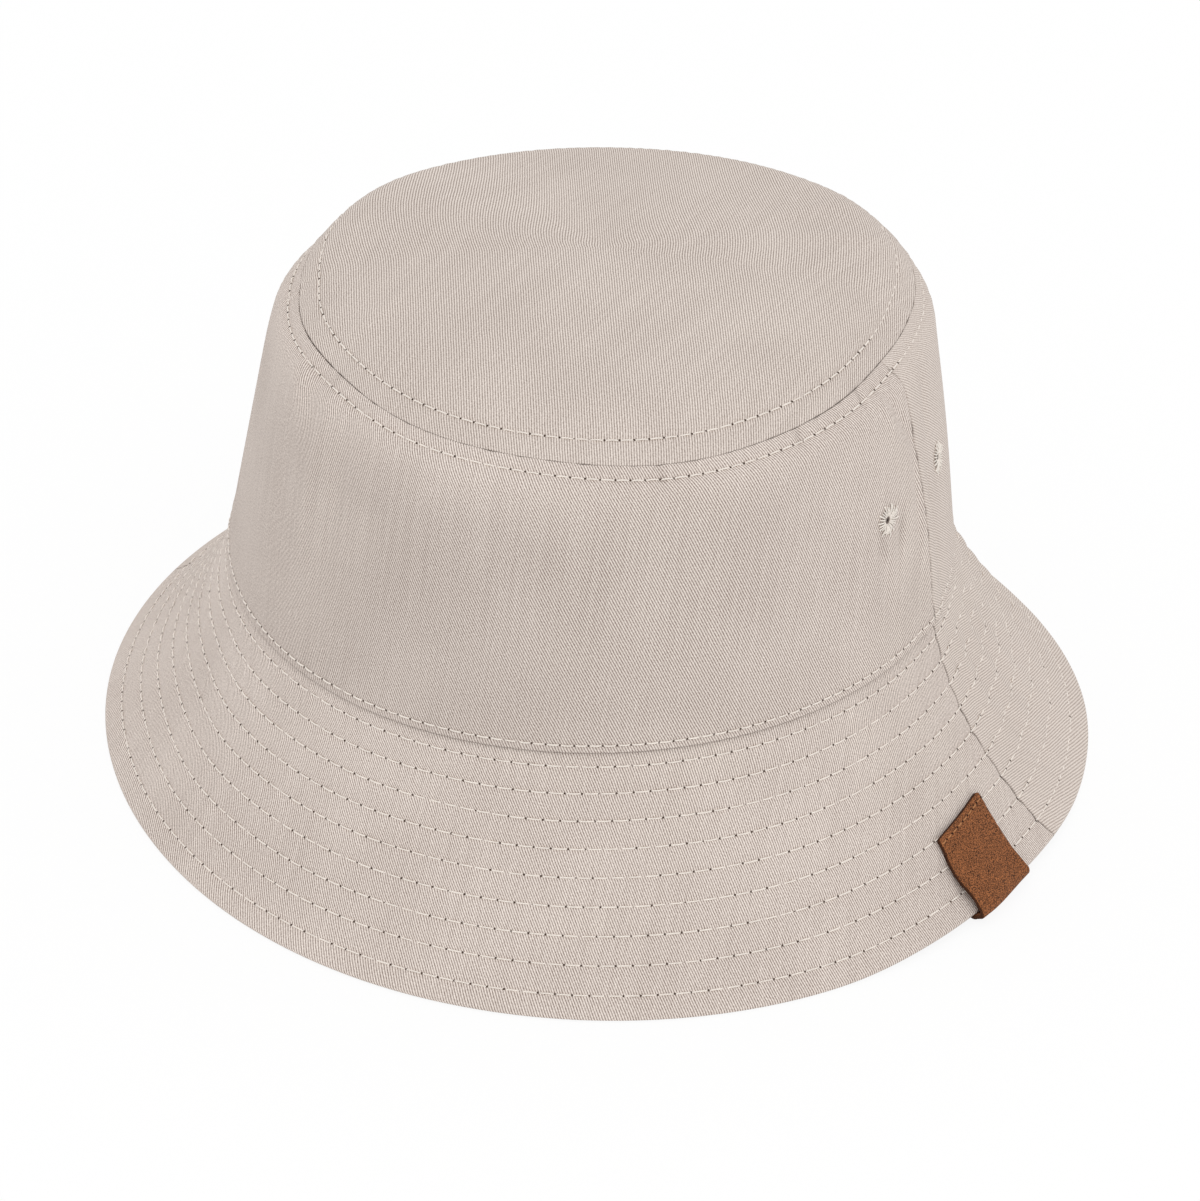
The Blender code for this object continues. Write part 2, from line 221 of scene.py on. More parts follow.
# Columns and rows of the meshes, and steps along the cloth: coarse, fine, and the reach of the fine ones
PANEL_COLUMNS = 400
UNDER_COLUMNS = 240
TIP_COLUMNS = 520
RING_COLUMNS = 360
TAPE_SIZE = 17, 41
INTERLINING_ROWS = 30
BAND_ROWS = 24
TAB_COLUMNS = 45
TAB_TURN_ROWS = 15
TAB_UNDER_ROWS = 26
LABEL_SIZE = 25, 29
ROW_COLUMNS = 25
UPPER_STEPS = 0.0013, 0.00036, 0.0014
UNDER_STEPS = 0.0022, 0.0008, 0.0016
CROWN_STEPS = 0.0012, 0.00016, 0.0011
TIP_STEPS = 0.0014, 0.00014, 0.0012
SEAM_FINER = 4
SEAM_COLUMN_REACH = 0.02
SPACING_TRIALS = 4000

# Outward moves of the brim's edge: azimuth, reach and move, in degrees and millimetres
EDGE_MOVES = (
    (57, 13, -2.0),
    (27, 13, 1.0),
    (-10, 12, -1.2),
    (-130, 25, -0.8),
)

# Moves of the hollow behind the right side seam, the brim's rows at the front and the crown's rim: azimuth,
# reach round the hat, place along, reach along, outward and upward, in degrees and millimetres
FORM_MOVES = (
    (35, 28, -8, 34, -3.2, 0),
    (-75, 45, -18, 32, 0, 0.9),
    (-122, 18, 70, 9, -1.6, 0.9),
    (-50, 20, 70, 9, 1.0, -1.2),
    (0, 14, 70, 9, -1.2, 0.8),
    (-163, 20, 70, 9, -1.1, 0),
    (44, 16, 70, 9, 1.2, 0.3),
)

# Dents, ridges and creases of the worn cloth: azimuth, place along, reach round the hat, reach along,
# slant and height, in degrees and millimetres
SOFT_SPOTS = (
    (-124, 74, 4.0, 9, 0, -0.6),
    (-131, 92, 3, 13, 25, 0.8),
    (-129, 66, 3.5, 10, 35, 0.5),
    (-122, 63, 3.5, 10, 35, -0.5),
    (3.5, 30, 1.5, 16, 4, -0.7),
    (-1.5, 40, 1.6, 18, -5, -0.5),
    (5, 12, 1.5, 12, 0, -0.5),
    (-53, 69.5, 1.1, 4, 10, -0.35),
    (-27, 70, 1.2, 5, -15, -0.45),
    (50, 95, 3, 12, 0, 0.5),
    (36, 94, 3, 12, 0, 0.5),
    (43, 93, 4, 11, 0, -0.3),
    (-7.5, 34, 3, 5, 0, -0.5),
    (-12.5, 29, 1.6, 6, 20, -0.5),
    (-7.5, 28, 1.6, 6, -18, -0.5),
    (-12, 16, 2.2, 9, 12, -0.5),
    (-118, 45, 3, 18, 0, 0.5),
    (-111, 50, 3, 16, 0, -0.5),
    (-125, 40, 3, 16, 0, -0.4),
    (1, 26, 6.0, 26, 0, 1.5),
    (-3, 58, 1.6, 9, 25, -0.8),
    (-7, 62, 1.4, 6, 20, 0.4),
    (7, 56, 2.0, 10, -12, -0.8),
)

# The dent at each air hole, in the same way, from its reach round the hat on
EYELET_DENT = 5, 6, 0, -0.25

# Painted shade in creases by the right side seam and across the rim, with a darkness in place of a height
CREASE_SHADES = (
    (3.2, 12, 0.7, 6, 0, 0.12),
    (2.5, 33, 0.6, 2.5, 40, 0.15),
    (-12, 32, 1.4, 4, 15, 0.12),
    (-6.5, 32, 1.3, 4, -15, 0.14),
    (-11, 70, 0.6, 3, -20, 0.22),
    (-27, 70, 0.6, 3, -15, 0.2),
    (-53, 69.5, 0.7, 3, 10, 0.12),
    (-120, 70, 0.7, 4, 20, 0.12),
)
MILLIMETRE = 0.001

# Ripples: height, seed, waves round the hat, waves per metre along it and the number of waves, if not 7
WALL_RIPPLE = 0.0004, 3, (5, 14), (-5, 5)
BRIM_RIPPLE = 0.0004, 5, (6, 15), (-4, 4)
SEAM_RIPPLE = 0.0004, 6, (44, 66), (-3, 3)
PUCKERS = 0.00008, 21, (60, 170), (-60, 60), 12
TIP_SEAM_BREAKS = 0.2, 31, (20, 90), (0, 0)

# The tip's ripple: height, seed and shortest and longest wave
TIP_RIPPLE = 0.0005, 8, (0.04, 0.1)

# Broken lines of painted shade: their mean strength, and a ripple of it
BRIM_SEAM_BREAKS = 0.75, 0.3, 51, (0, 0), (60, 300)
CROWN_SEAM_BREAKS = 0.15, 0.5, 52, (0, 0), (60, 200)
TIP_SEAM_DASHES = 0.5, 0.7, 53, (60, 160), (0, 0)

# How far the tip seam opens: at its two front corners, by azimuth, reach and share, elsewhere, and at least
TIP_OPENINGS = ((-130, 16, 0.55), (-14, 17, 0.36))
TIP_OPENING = 0.14
TIP_OPENING_LEAST = 0.04

# Painted shade in the folds of the seams, as fine dark lines: darkness and reach
BRIM_SEAM_SHADE = 0.9, 0.00024
BRIM_BASE_SHADE = 0.6, 0.00035
CROWN_SEAM_SHADE = 0.7, 0.00026
CROWN_BASE_SHADE = 0.4, 0.00015
TIP_SEAM_SHADE = 1, 0.00016
BRIM_SHADE_RUN = 0.001
CROWN_SHADE_START = 0.0001

# Painted shade at an air hole, under its threads and in its middle: darkness, radius and the run over which
# it fades
EYELET_SHADES = ((0.1, EYELET_RADIUS, 0.001), (0.75, 0.0011, 0.0004))

# Painted shade that darkens the crown's front wall
FRONT_WALL_SHADE = 0.145
FRONT_SHADE_AZIMUTH = radians(-95)
FRONT_SHADE_POWER = 3
FRONT_SHADE_RUN = 0.02

# Worked out from the sizes above
BRIM_LEAN = (LEAN_TOP + LEAN_EDGE) / 2
BRIM_TURN = (LEAN_EDGE - LEAN_TOP) / BRIM_WIDTH
BRIM_FLARE = (cos(LEAN_TOP) - cos(LEAN_EDGE)) / BRIM_TURN
BRIM_DROP = (sin(LEAN_EDGE) - sin(LEAN_TOP)) / BRIM_TURN
WALL_SLOPE = pi / 2 - WALL_LEAN
BEVEL_START = SIDE_PANEL_HEIGHT - TIP_ROW_BELOW_SEAM - BEVEL_SPARE
WALL_LENGTH = BEVEL_START - SHOULDER_RADIUS * (WALL_SLOPE - BEVEL_SLOPE)
TIP_RIM = SIDE_PANEL_HEIGHT + TIP_ROW_ABOVE_SEAM + BEVEL_SPARE
RIM_RISE = tan(BEVEL_SLOPE) - DOME_RISE
BASE_RADIUS = (BASE_HALF_WIDTH + BASE_HALF_LENGTH) / 2
TIP_REACH = (BASE_RADIUS - WALL_LENGTH * sin(WALL_LEAN)
             - SHOULDER_RADIUS * (sin(WALL_SLOPE) - sin(BEVEL_SLOPE))
             - (TIP_RIM - BEVEL_START) * cos(BEVEL_SLOPE))
TIP_CENTRE = TIP_RIM + TIP_REACH
TAB_AZIMUTH = -TAB_FROM_SEAM / (BASE_HALF_WIDTH + BRIM_FLARE + BRIM_SIDE_EXTRA)
LIFT_REACH = LIFT_RUN / (BASE_HALF_WIDTH + BRIM_FLARE)
BRIM_END = EDGE_TURN - BRIM_WIDTH
BRIM_LINES = np.linspace(-FIRST_ROW_BELOW_SEAM, LAST_ROW_FROM_EDGE - BRIM_WIDTH, BRIM_ROWS)
TIP_UPPER_LINE = SIDE_PANEL_HEIGHT + TIP_ROW_ABOVE_SEAM
TIP_LOWER_LINE = SIDE_PANEL_HEIGHT - TIP_ROW_BELOW_SEAM
CROWN_LINES = (BASE_ROW_ABOVE_SEAM, TIP_LOWER_LINE, TIP_UPPER_LINE)
EYELET_ALONG = SWEATBAND_HEIGHT + EYELET_RADIUS + EYELET_ABOVE_BAND
FRONT, BACK = -pi / 2, pi / 2
UPRIGHT = np.array((0.0, 0.0, 1.0))
NUDGE = 0.0001
POLE_CLEAR = 10 * NUDGE

# Windows along the cloth and behind the right side seam: start, run of opening, end and run of closing
WALL_WINDOW = 0, 0.012, SIDE_PANEL_HEIGHT, 0.016
BRIM_WINDOW = -BRIM_WIDTH, 0.02, 0, 0.016
ALLOWANCE_WINDOW = TIP_LOWER_LINE, ALLOWANCE_RUN, TIP_UPPER_LINE, ALLOWANCE_RUN
RIPPLE_WINDOW = 0, 0.08, 1.2, 0.5
LEDGE_WINDOW = 0.03, 0.1, 1.0, 0.4
SUNK_WINDOW = 0.04, 0.1, 1.1, 0.4


# Form of the hat

def ease(share):
    """Smooth step from 0 to 1."""
    share = np.clip(share, 0, 1)
    return share * share * (3 - 2 * share)


def window(value, start, opening, end, closing):
    """1 between a start and an end, inside which it opens and closes over two runs."""
    return ease((value - start) / opening) * ease((end - value) / closing)


def bell(distance, reach):
    """Soft bump of unit height, at distances from its middle."""
    return np.exp(-(distance / reach) ** 2)


def close_to(value, lines, reach):
    """Soft window round each of some lines."""
    return np.minimum(sum(bell(value - line, reach) for line in lines), 1)


def around(azimuth, centre):
    """Signed turn from a centre, from minus half a turn to half a turn."""
    return np.angle(np.exp(1j * (azimuth - centre)))


def near(azimuth, centre, reach):
    """Soft window round an azimuth, its centre and reach in degrees."""
    return bell(around(azimuth, radians(centre)), radians(reach))


def facing(azimuth, centre, power):
    """1 at a centre, falling to 0 on the other side of the hat."""
    return (0.5 + 0.5 * np.cos(azimuth - centre)) ** power


def profile(along):
    """Half width, half length and height of the outer face at distances along the cloth."""
    down = np.minimum(along, 0)
    lean = LEAN_TOP - down * BRIM_TURN
    flare = (cos(LEAN_TOP) - np.cos(lean)) / BRIM_TURN
    drop = (np.sin(lean) - sin(LEAN_TOP)) / BRIM_TURN
    extra = BRIM_SIDE_EXTRA * flare / BRIM_FLARE
    flare = flare + EDGE_REACH * ease((-down - BRIM_WIDTH + EDGE_REACH_RUN) / EDGE_REACH_RUN)
    wall = np.clip(along, 0, WALL_LENGTH)
    slope = np.maximum(WALL_SLOPE - np.maximum(along - WALL_LENGTH, 0) / SHOULDER_RADIUS, BEVEL_SLOPE)
    bevel = np.clip(along, BEVEL_START, TIP_RIM) - BEVEL_START
    inward = (wall * sin(WALL_LEAN) + SHOULDER_RADIUS * (sin(WALL_SLOPE) - np.sin(slope))
              + bevel * cos(BEVEL_SLOPE))
    side_ease = CROWN_SIDE_EASE * wall / WALL_LENGTH
    share = 1 - np.maximum(along - TIP_RIM, 0) / TIP_REACH
    height = (BRIM_DROP - drop + wall * cos(WALL_LEAN) + SHOULDER_RADIUS * (np.cos(slope) - cos(WALL_SLOPE))
              + bevel * sin(BEVEL_SLOPE) + TIP_REACH * DOME_RISE / 2 * (1 - share ** 2)
              + TIP_REACH * RIM_RISE / DOME_POWER * (1 - share ** DOME_POWER))
    half_width = (BASE_HALF_WIDTH + flare + extra - inward + side_ease) * share
    half_length = (BASE_HALF_LENGTH + flare - extra - inward - side_ease) * share
    return half_width, half_length, height


def back_run(lean):
    """Places along the crown's back up to its fold, with how far in and how high the cloth is at each."""
    steps = np.linspace(0, BACK_FOLD_END, BACK_STEPS)
    slope = WALL_SLOPE - (lean - WALL_LEAN) * np.clip((steps - BACK_BEND) / BACK_BEND_RUN, 0, 1)
    fold = np.clip((steps - BACK_FOLD) / (BACK_FOLD_END - BACK_FOLD), 0, 1)
    slope = slope + (BACK_DOME - slope) * fold
    inward, rise = (np.cumsum(part) * steps[1] for part in (np.cos(slope), np.sin(slope)))
    return steps, inward - inward[0], rise - rise[0]


BACK_LEAST, BACK_MOST = back_run(BACK_LEAN_LEAST), back_run(BACK_LEAN_MOST)


def back_profile(along, run):
    """Half width, half length and height of the crown's back, where it leans in and folds late."""
    steps, inward, rise = run
    inward = np.interp(along, steps, inward)
    edge = BRIM_DROP + np.interp(along, steps, rise)
    share = np.clip((TIP_CENTRE - along) / (TIP_CENTRE - BACK_FOLD_END), 0, 1)
    height = edge + (profile(TIP_CENTRE)[2] - edge) * (1 - share ** 2)
    return (BASE_HALF_WIDTH - inward) * share, (BASE_HALF_LENGTH - inward) * share, height


def smooth_face(azimuth, along):
    """Points of the outer face before its small dents. The edge rises where the tab passes under it."""
    from_back = around(azimuth, BACK_AZIMUTH)
    back = ease((BACK_TURN - np.abs(from_back)) / BACK_ONSET) * (along > 0)
    middle = np.maximum(np.cos(from_back), 0) ** BACK_LEAN_POWER
    shapes = zip(profile(along), back_profile(along, BACK_LEAST), back_profile(along, BACK_MOST))
    half_width, half_length, height = (
        plain + back * (least + middle * (most - least) - plain) for plain, least, most in shapes)
    down = (np.minimum(along, 0) / BRIM_WIDTH) ** 2
    out = EDGE_SWING * down * facing(azimuth, SWING_AZIMUTH, 2)
    for centre, reach, move in EDGE_MOVES:
        out = out + move * MILLIMETRE * down * near(azimuth, centre, reach)
    height = height + EDGE_LIFT * down * np.exp(-(around(azimuth, TAB_AZIMUTH) / LIFT_REACH) ** 4)
    for centre, reach, place, run, outward_move, upward_move in FORM_MOVES:
        share = near(azimuth, centre, reach) * bell(along - place * MILLIMETRE, run * MILLIMETRE) * MILLIMETRE
        out = out + outward_move * share
        height = height + upward_move * share
    return np.stack([(half_width + out) * np.cos(azimuth), (half_length + out) * np.sin(azimuth), height], -1)


def outward(azimuth, along):
    """Unit normals of the smooth outer face."""
    along = np.minimum(along, TIP_CENTRE - POLE_CLEAR)
    across = smooth_face(azimuth + NUDGE, along) - smooth_face(azimuth - NUDGE, along)
    up = smooth_face(azimuth, along + NUDGE) - smooth_face(azimuth, along - NUDGE)
    normal = np.cross(across, up)
    return normal / np.linalg.norm(normal, axis=-1, keepdims=True)


def ripple(azimuth, along, height, seed, turns, runs, waves=7):
    """An irregular ripple, from waves round the hat and waves per metre along it."""
    draw = np.random.default_rng(seed)
    total = 0
    for _ in range(waves):
        round_rate = draw.integers(turns[0], turns[1] + 1)
        along_rate = 2 * pi * draw.uniform(*runs)
        total = total + np.sin(round_rate * azimuth + along_rate * along + draw.uniform(0, 2 * pi))
    return height * (total / sqrt(waves))


def plan_ripple(face, height, seed, lengths, waves=7):
    """An irregular ripple over the plan of the hat, from waves of the given lengths."""
    draw = np.random.default_rng(seed)
    total = 0
    for _ in range(waves):
        heading = draw.uniform(0, 2 * pi)
        rate = 2 * pi / draw.uniform(*lengths)
        run = face[..., 0] * cos(heading) + face[..., 1] * sin(heading)
        total = total + np.sin(rate * run + draw.uniform(0, 2 * pi))
    return height * (total / sqrt(waves))


def soft_spot(face, azimuth, along, reach_round, reach_along, slant, height):
    """Height that one dent or ridge adds at points of the smooth face."""
    turn, place = radians(azimuth), along * MILLIMETRE
    centre, away = smooth_face(turn, place), outward(turn, place)
    up = smooth_face(turn, place + NUDGE) - centre
    up = up / np.linalg.norm(up)
    offset = (face - centre) / MILLIMETRE
    sideways, upward, off = offset @ np.cross(up, away), offset @ up, offset @ away
    lean = radians(slant)
    first = (sideways * cos(lean) + upward * sin(lean)) / reach_round
    second = (upward * cos(lean) - sideways * sin(lean)) / reach_along
    third = off / (2 * max(reach_round, reach_along))
    return height * MILLIMETRE * np.exp(-first ** 2 - second ** 2 - third ** 2)


def soft_form(azimuth, along):
    """How far the worn cloth stands out from the smooth face."""
    face = smooth_face(azimuth, along)
    brim = window(along, *BRIM_WINDOW)
    total = ripple(azimuth, along, *WALL_RIPPLE) * window(along, *WALL_WINDOW)
    total += ripple(azimuth, along, *BRIM_RIPPLE) * brim
    total += ripple(azimuth, along, *SEAM_RIPPLE) * brim * window(azimuth, *RIPPLE_WINDOW)
    total += plan_ripple(face, *TIP_RIPPLE) * ease((along - TIP_UPPER_LINE) / TIP_RIPPLE_RUN)
    turn = degrees(eyelet_turn())
    for spot in SOFT_SPOTS:
        total += soft_spot(face, *spot)
    for place in (-turn, turn, 180 - turn, 180 + turn):
        total += soft_spot(face, place, EYELET_ALONG / MILLIMETRE, *EYELET_DENT)
    return total


def cloth(azimuth, along, depth):
    """Points of the worn cloth at depths below its outer face."""
    reach = soft_form(azimuth, along) - depth
    return smooth_face(azimuth, along) + outward(azimuth, along) * np.asarray(reach)[..., None]


def eyelet_turn():
    """Azimuth between an air hole and its side seam."""
    return EYELET_SPACING / 2 / profile(EYELET_ALONG)[0]


# Sewing lines, the relief that they draw in the cloth and the painted shade of its folds

def furrows(along, lines):
    """Depth of the cloth where rows of stitches draw it in."""
    return sum(FURROW_DEPTH * bell(along - line, FURROW_REACH) for line in lines)


def quilting(along):
    """Height of the soft puffs between the brim's rows."""
    spacing = BRIM_LINES[0] - BRIM_LINES[1]
    wave = np.sin(pi * (along - BRIM_LINES[0]) / spacing) ** 2
    inside = (along < BRIM_LINES[0]) & (along > BRIM_LINES[-1])
    return QUILT_RISE * np.where(inside, wave, 0)


def puckers(azimuth, along, lines):
    """Height of the small gathers that sewing leaves beside its rows."""
    return ripple(azimuth, along, *PUCKERS) * close_to(along, lines, PUCKER_REACH)


def rolled_in(distance):
    """Depth of a cloth edge that turns in to its seam, at distances from the seam."""
    return SEAM_ROLL * np.clip(1 - distance / SEAM_REACH, 0, 1) ** 2


def side_seam_distance(azimuth, along):
    """Distance from the nearer side seam."""
    return np.abs(np.sin(azimuth)) * profile(along)[0]


def eyelet_distance(azimuth, along):
    """Distance from the nearest air hole."""
    turn = np.arcsin(np.abs(np.sin(azimuth))) - eyelet_turn()
    return np.hypot(turn * profile(EYELET_ALONG)[0], along - EYELET_ALONG)


def tip_seam_opening(azimuth):
    """Share of the full depth to which the tip seam opens: most at the two front corners."""
    corners = [share * near(azimuth, centre, reach) for centre, reach, share in TIP_OPENINGS]
    opening = TIP_OPENING + np.maximum(*corners) + ripple(azimuth, 0, *TIP_SEAM_BREAKS)
    return np.clip(opening, TIP_OPENING_LEAST, 1)


def base_ledge(azimuth):
    """Share of its full size that the ledge over the base seam has: little behind the right side seam."""
    return 1 - LEDGE_LOSS * window(azimuth, *LEDGE_WINDOW)


def broken(azimuth, along, mean, *waves):
    """Strength of a broken line of painted shade."""
    return np.clip(mean + ripple(azimuth, along, *waves), 0, 1)


def line_shade(distance, darkness, reach):
    """Painted shade of a fine dark line, at distances from it."""
    return darkness * bell(distance, reach)


def brim_shade(azimuth, along):
    """Painted shade on the upper brim, in the folds of its side seams and under the crown's edge."""
    side = broken(0, along, *BRIM_SEAM_BREAKS) * ease(-along / BRIM_SHADE_RUN)
    side = side * line_shade(side_seam_distance(azimuth, along), *BRIM_SEAM_SHADE)
    base = base_ledge(azimuth) * line_shade(np.minimum(along, 0), *BRIM_BASE_SHADE)
    return np.maximum(side, base)


def crown_shade(azimuth, along):
    """Painted shade on the crown, in the folds of its seams and creases, at its air holes and on its front
    wall.
    """
    # Painted shade in the folds of the side seams, the tip seam and under the crown's edge
    side = broken(0, along, *CROWN_SEAM_BREAKS) * (along < SIDE_PANEL_HEIGHT)
    side = side * line_shade(side_seam_distance(azimuth, along), *CROWN_SEAM_SHADE)
    tip = broken(azimuth, 0, *TIP_SEAM_DASHES) * tip_seam_opening(azimuth)
    tip = tip * line_shade(along - SIDE_PANEL_HEIGHT, *TIP_SEAM_SHADE)
    base = base_ledge(azimuth) * line_shade(np.maximum(along - CROWN_SHADE_START, 0), *CROWN_BASE_SHADE)
    # Painted shade at the air holes, under their threads and in their middles
    distance = eyelet_distance(azimuth, along)
    hole = sum(darkness * ease((radius - distance) / run) for darkness, radius, run in EYELET_SHADES)
    folds = np.maximum.reduce([side, tip, base, hole])
    face = smooth_face(azimuth, along)
    # Painted shade in the creases
    creases = sum(soft_spot(face, *crease) for crease in CREASE_SHADES) / MILLIMETRE
    # Painted shade on the front wall, fading out below the tip's lower row
    tone = facing(azimuth, FRONT_SHADE_AZIMUTH, FRONT_SHADE_POWER) * ease((TIP_LOWER_LINE - along) / FRONT_SHADE_RUN)
    return 1 - (1 - folds) * (1 - creases) * (1 - FRONT_WALL_SHADE * tone)


def brim_relief(azimuth, along):
    """Depth of the upper brim cloth: rows, puffs, side seams and the tuck at the crown."""
    tuck = TUCK_DEPTH * ease((along + TUCK_RUN) / TUCK_RUN)
    side_roll = rolled_in(side_seam_distance(azimuth, along)) * ease(-along / BRIM_ROLL_RUN)
    return (furrows(along, BRIM_LINES) - quilting(along) - puckers(azimuth, along, BRIM_LINES)
            + side_roll + tuck)


def crown_relief(azimuth, along):
    """Depth of the crown cloth: ledge at the base, rows, seams and seam allowances."""
    ledge = LEDGE * (1 - ease(along / LEDGE_RUN)) * base_ledge(azimuth)
    allowance = ALLOWANCE_RISE * window(along, *ALLOWANCE_WINDOW)
    side_roll = CROWN_ROLL_SHARE * rolled_in(side_seam_distance(azimuth, along))
    side_roll = side_roll * ease((SIDE_PANEL_HEIGHT - along) / CROWN_ROLL_RUN)
    return (furrows(along, CROWN_LINES) - ledge - allowance - puckers(azimuth, along, CROWN_LINES) + side_roll
            + rolled_in(np.abs(along - SIDE_PANEL_HEIGHT)) * tip_seam_opening(azimuth))


# Meshes

def spaced(first, last, lines, coarse, fine, reach):
    """Values from first to last, fine steps apart near the lines and coarse steps apart elsewhere."""
    trial = np.linspace(first, last, SPACING_TRIALS)
    density = 1 / coarse + (1 / fine - 1 / coarse) * close_to(trial, lines, reach)
    total = np.concatenate([[0], np.cumsum((density[1:] + density[:-1]) / 2 * abs(trial[1] - trial[0]))])
    return np.interp(np.linspace(0, total[-1], int(total[-1]) + 1), total, trial)


def half_azimuths(centre, columns, lines=()):
    """Azimuths of a half panel's columns, closer together at its two side seams and at other lines."""
    ends, step = (-pi / 2, pi / 2), pi / columns
    return centre + spaced(*ends, (*ends, *lines), step, step / SEAM_FINER, SEAM_COLUMN_REACH)


def add_object(name, data):
    made = bpy.data.objects.new(name, data)
    bpy.context.scene.collection.objects.link(made)
    return made


def cloth_mesh(name, points, cut, closed=False, flip=False, keep=None, pole=None, shade=None):
    """A mesh of quads through rows of points, with the place on the flat pattern as its UV map.

    A shade gives each point the darkness of its painted shade, as an attribute.
    """
    rows, columns = points.shape[:2]
    place = np.arange(rows * columns).reshape(rows, columns)
    index = place.copy()
    if closed:
        index[:, -1] = index[:, 0]

    def corners(numbers):
        return np.stack([numbers[:-1, :-1], numbers[:-1, 1:], numbers[1:, 1:], numbers[1:, :-1]], -1)

    faces, spots = corners(index), corners(place)
    if keep is not None:
        faces, spots = faces[keep], spots[keep]
    faces, spots = faces.reshape(-1, 4).tolist(), spots.reshape(-1, 4).tolist()
    points, cut = points.reshape(-1, 3), cut.reshape(-1, 2)
    shade = np.zeros(len(points)) if shade is None else shade.ravel()
    if pole is not None:
        points = np.vstack([points, pole])
        shade = np.append(shade, 0)
        cut = np.vstack([cut, (0, 0)])
        for corner_lists, top in ((faces, index[-1]), (spots, place[-1])):
            corner_lists += [[top[i], top[i + 1], len(points) - 1] for i in range(columns - 1)]
    if flip:
        faces, spots = ([corner[::-1] for corner in corner_lists] for corner_lists in (faces, spots))
    used, numbers = np.unique(np.concatenate(faces), return_inverse=True)
    sizes = [len(face) for face in faces]
    faces = np.split(numbers, np.cumsum(sizes)[:-1])
    mesh = bpy.data.meshes.new(name)
    mesh.from_pydata(points[used].tolist(), [], [face.tolist() for face in faces])
    layer = mesh.uv_layers.new(name="cut")
    layer.data.foreach_set("uv", cut[np.concatenate(spots)].ravel())
    attribute = mesh.attributes.new("shade", "FLOAT", "POINT")
    attribute.data.foreach_set("value", shade[used].astype(np.float32))
    mesh.shade_smooth()
    return mesh


def add_sheet(node, finish, slot, points, cut, material, thickness, body="hat", **shape):
    """A sheet in place of a node, with its thickness behind the face that its normals point from."""
    name = "%s_%s" % (node, finish)
    piece = add_object(name, cloth_mesh(name, points, cut, **shape))
    piece.data.materials.append(material)
    solid = piece.modifiers.new("thickness", "SOLIDIFY")
    solid.thickness = thickness
    solid.offset = -1
    solid.use_even_offset = False
    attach(piece, body)
    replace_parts(piece, node)
    return piece


def ring_cut(azimuth, along, centre, lean):
    """Place on the flat pattern of a panel that is cut as part of a ring."""
    turn = sin(lean)
    radius = BASE_RADIUS / turn - along
    angle = (azimuth - centre) * turn
    return np.stack([radius * np.sin(angle), -radius * np.cos(angle)], -1)


def add_panel(node, centre, lean, azimuths, alongs, parts, twill, shade=None, **shape):
    """A twill panel cut as part of a ring, given as parts of its rows and their places along."""
    azimuth, along = np.meshgrid(azimuths, np.concatenate(alongs))
    if shade:
        shape["shade"] = shade(azimuth, along)
    cut = ring_cut(azimuth, along, centre, lean)
    return add_sheet(node, "twill", "twill", np.concatenate(parts), cut, twill, CLOTH, **shape)


def edge_axes(azimuth):
    """Centre of the edge's roll, and the level and steepness of the way out, at azimuths round the edge."""
    along = np.full_like(azimuth, BRIM_END)
    normal = outward(azimuth, along)
    level = normal * (1, 1, 0)
    level = level / np.linalg.norm(level, axis=-1, keepdims=True)
    return cloth(azimuth, along, 0) - normal * EDGE_ROLL, level, np.arcsin(normal[:, 2])


def turned_edge(azimuth):
    """Rows of the brim's edge, from its level foot out and up round the roll, and their places along."""
    centre, level, steep = edge_axes(azimuth)
    rows, lengths = [], []
    for inward, rise in EDGE_FOOT:
        rows.append(centre - UPRIGHT * (EDGE_ROLL - rise) - level * inward)
        lengths.append(-inward)
    total = EDGE_ROLL * (pi / 2 + steep.mean())
    for share in np.linspace(0, 1, EDGE_STEPS)[:-1]:
        turn = -pi / 2 + (steep + pi / 2) * share
        rows.append(centre + EDGE_ROLL * (np.cos(turn)[:, None] * level + np.sin(turn)[:, None] * UPRIGHT))
        lengths.append(total * share)
    return np.stack(rows), BRIM_END - total + np.array(lengths)


def make_brim_upper(side, centre, twill):
    azimuths = half_azimuths(centre, PANEL_COLUMNS)
    alongs = spaced(BRIM_END, TUCK_TOP, (0, *BRIM_LINES), *UPPER_STEPS)
    azimuth, along = np.meshgrid(azimuths, alongs)
    face = cloth(azimuth, along, brim_relief(azimuth, along) * ease((along - BRIM_END) / EDGE_RELIEF_RUN))
    edge, edge_alongs = turned_edge(azimuths)
    return add_panel("brim_upper_" + side, centre, BRIM_LEAN, azimuths, (edge_alongs, alongs), (edge, face),
                     twill, brim_shade)


def make_brim_lower(side, centre, twill):
    azimuths = half_azimuths(centre, UNDER_COLUMNS)
    alongs = spaced(UNDER_END, UNDER_TOP, BRIM_LINES, *UNDER_STEPS)
    azimuth, along = np.meshgrid(azimuths, alongs)
    relief = furrows(along, BRIM_LINES) * UNDER_FURROW_SHARE + rolled_in(side_seam_distance(azimuth, along))
    face = cloth(azimuth, along, BRIM_LAYERS - relief)
    middle, level, _ = edge_axes(azimuths)
    foot = middle - UPRIGHT * EDGE_ROLL
    hem = np.stack([foot - level * inward + UPRIGHT * rise for inward, rise, _ in HEM])
    hem_alongs = alongs[0] - np.array([below for _, _, below in HEM])
    return add_panel("brim_lower_" + side, centre, BRIM_LEAN, azimuths, (hem_alongs, alongs), (hem, face),
                     twill, flip=True)


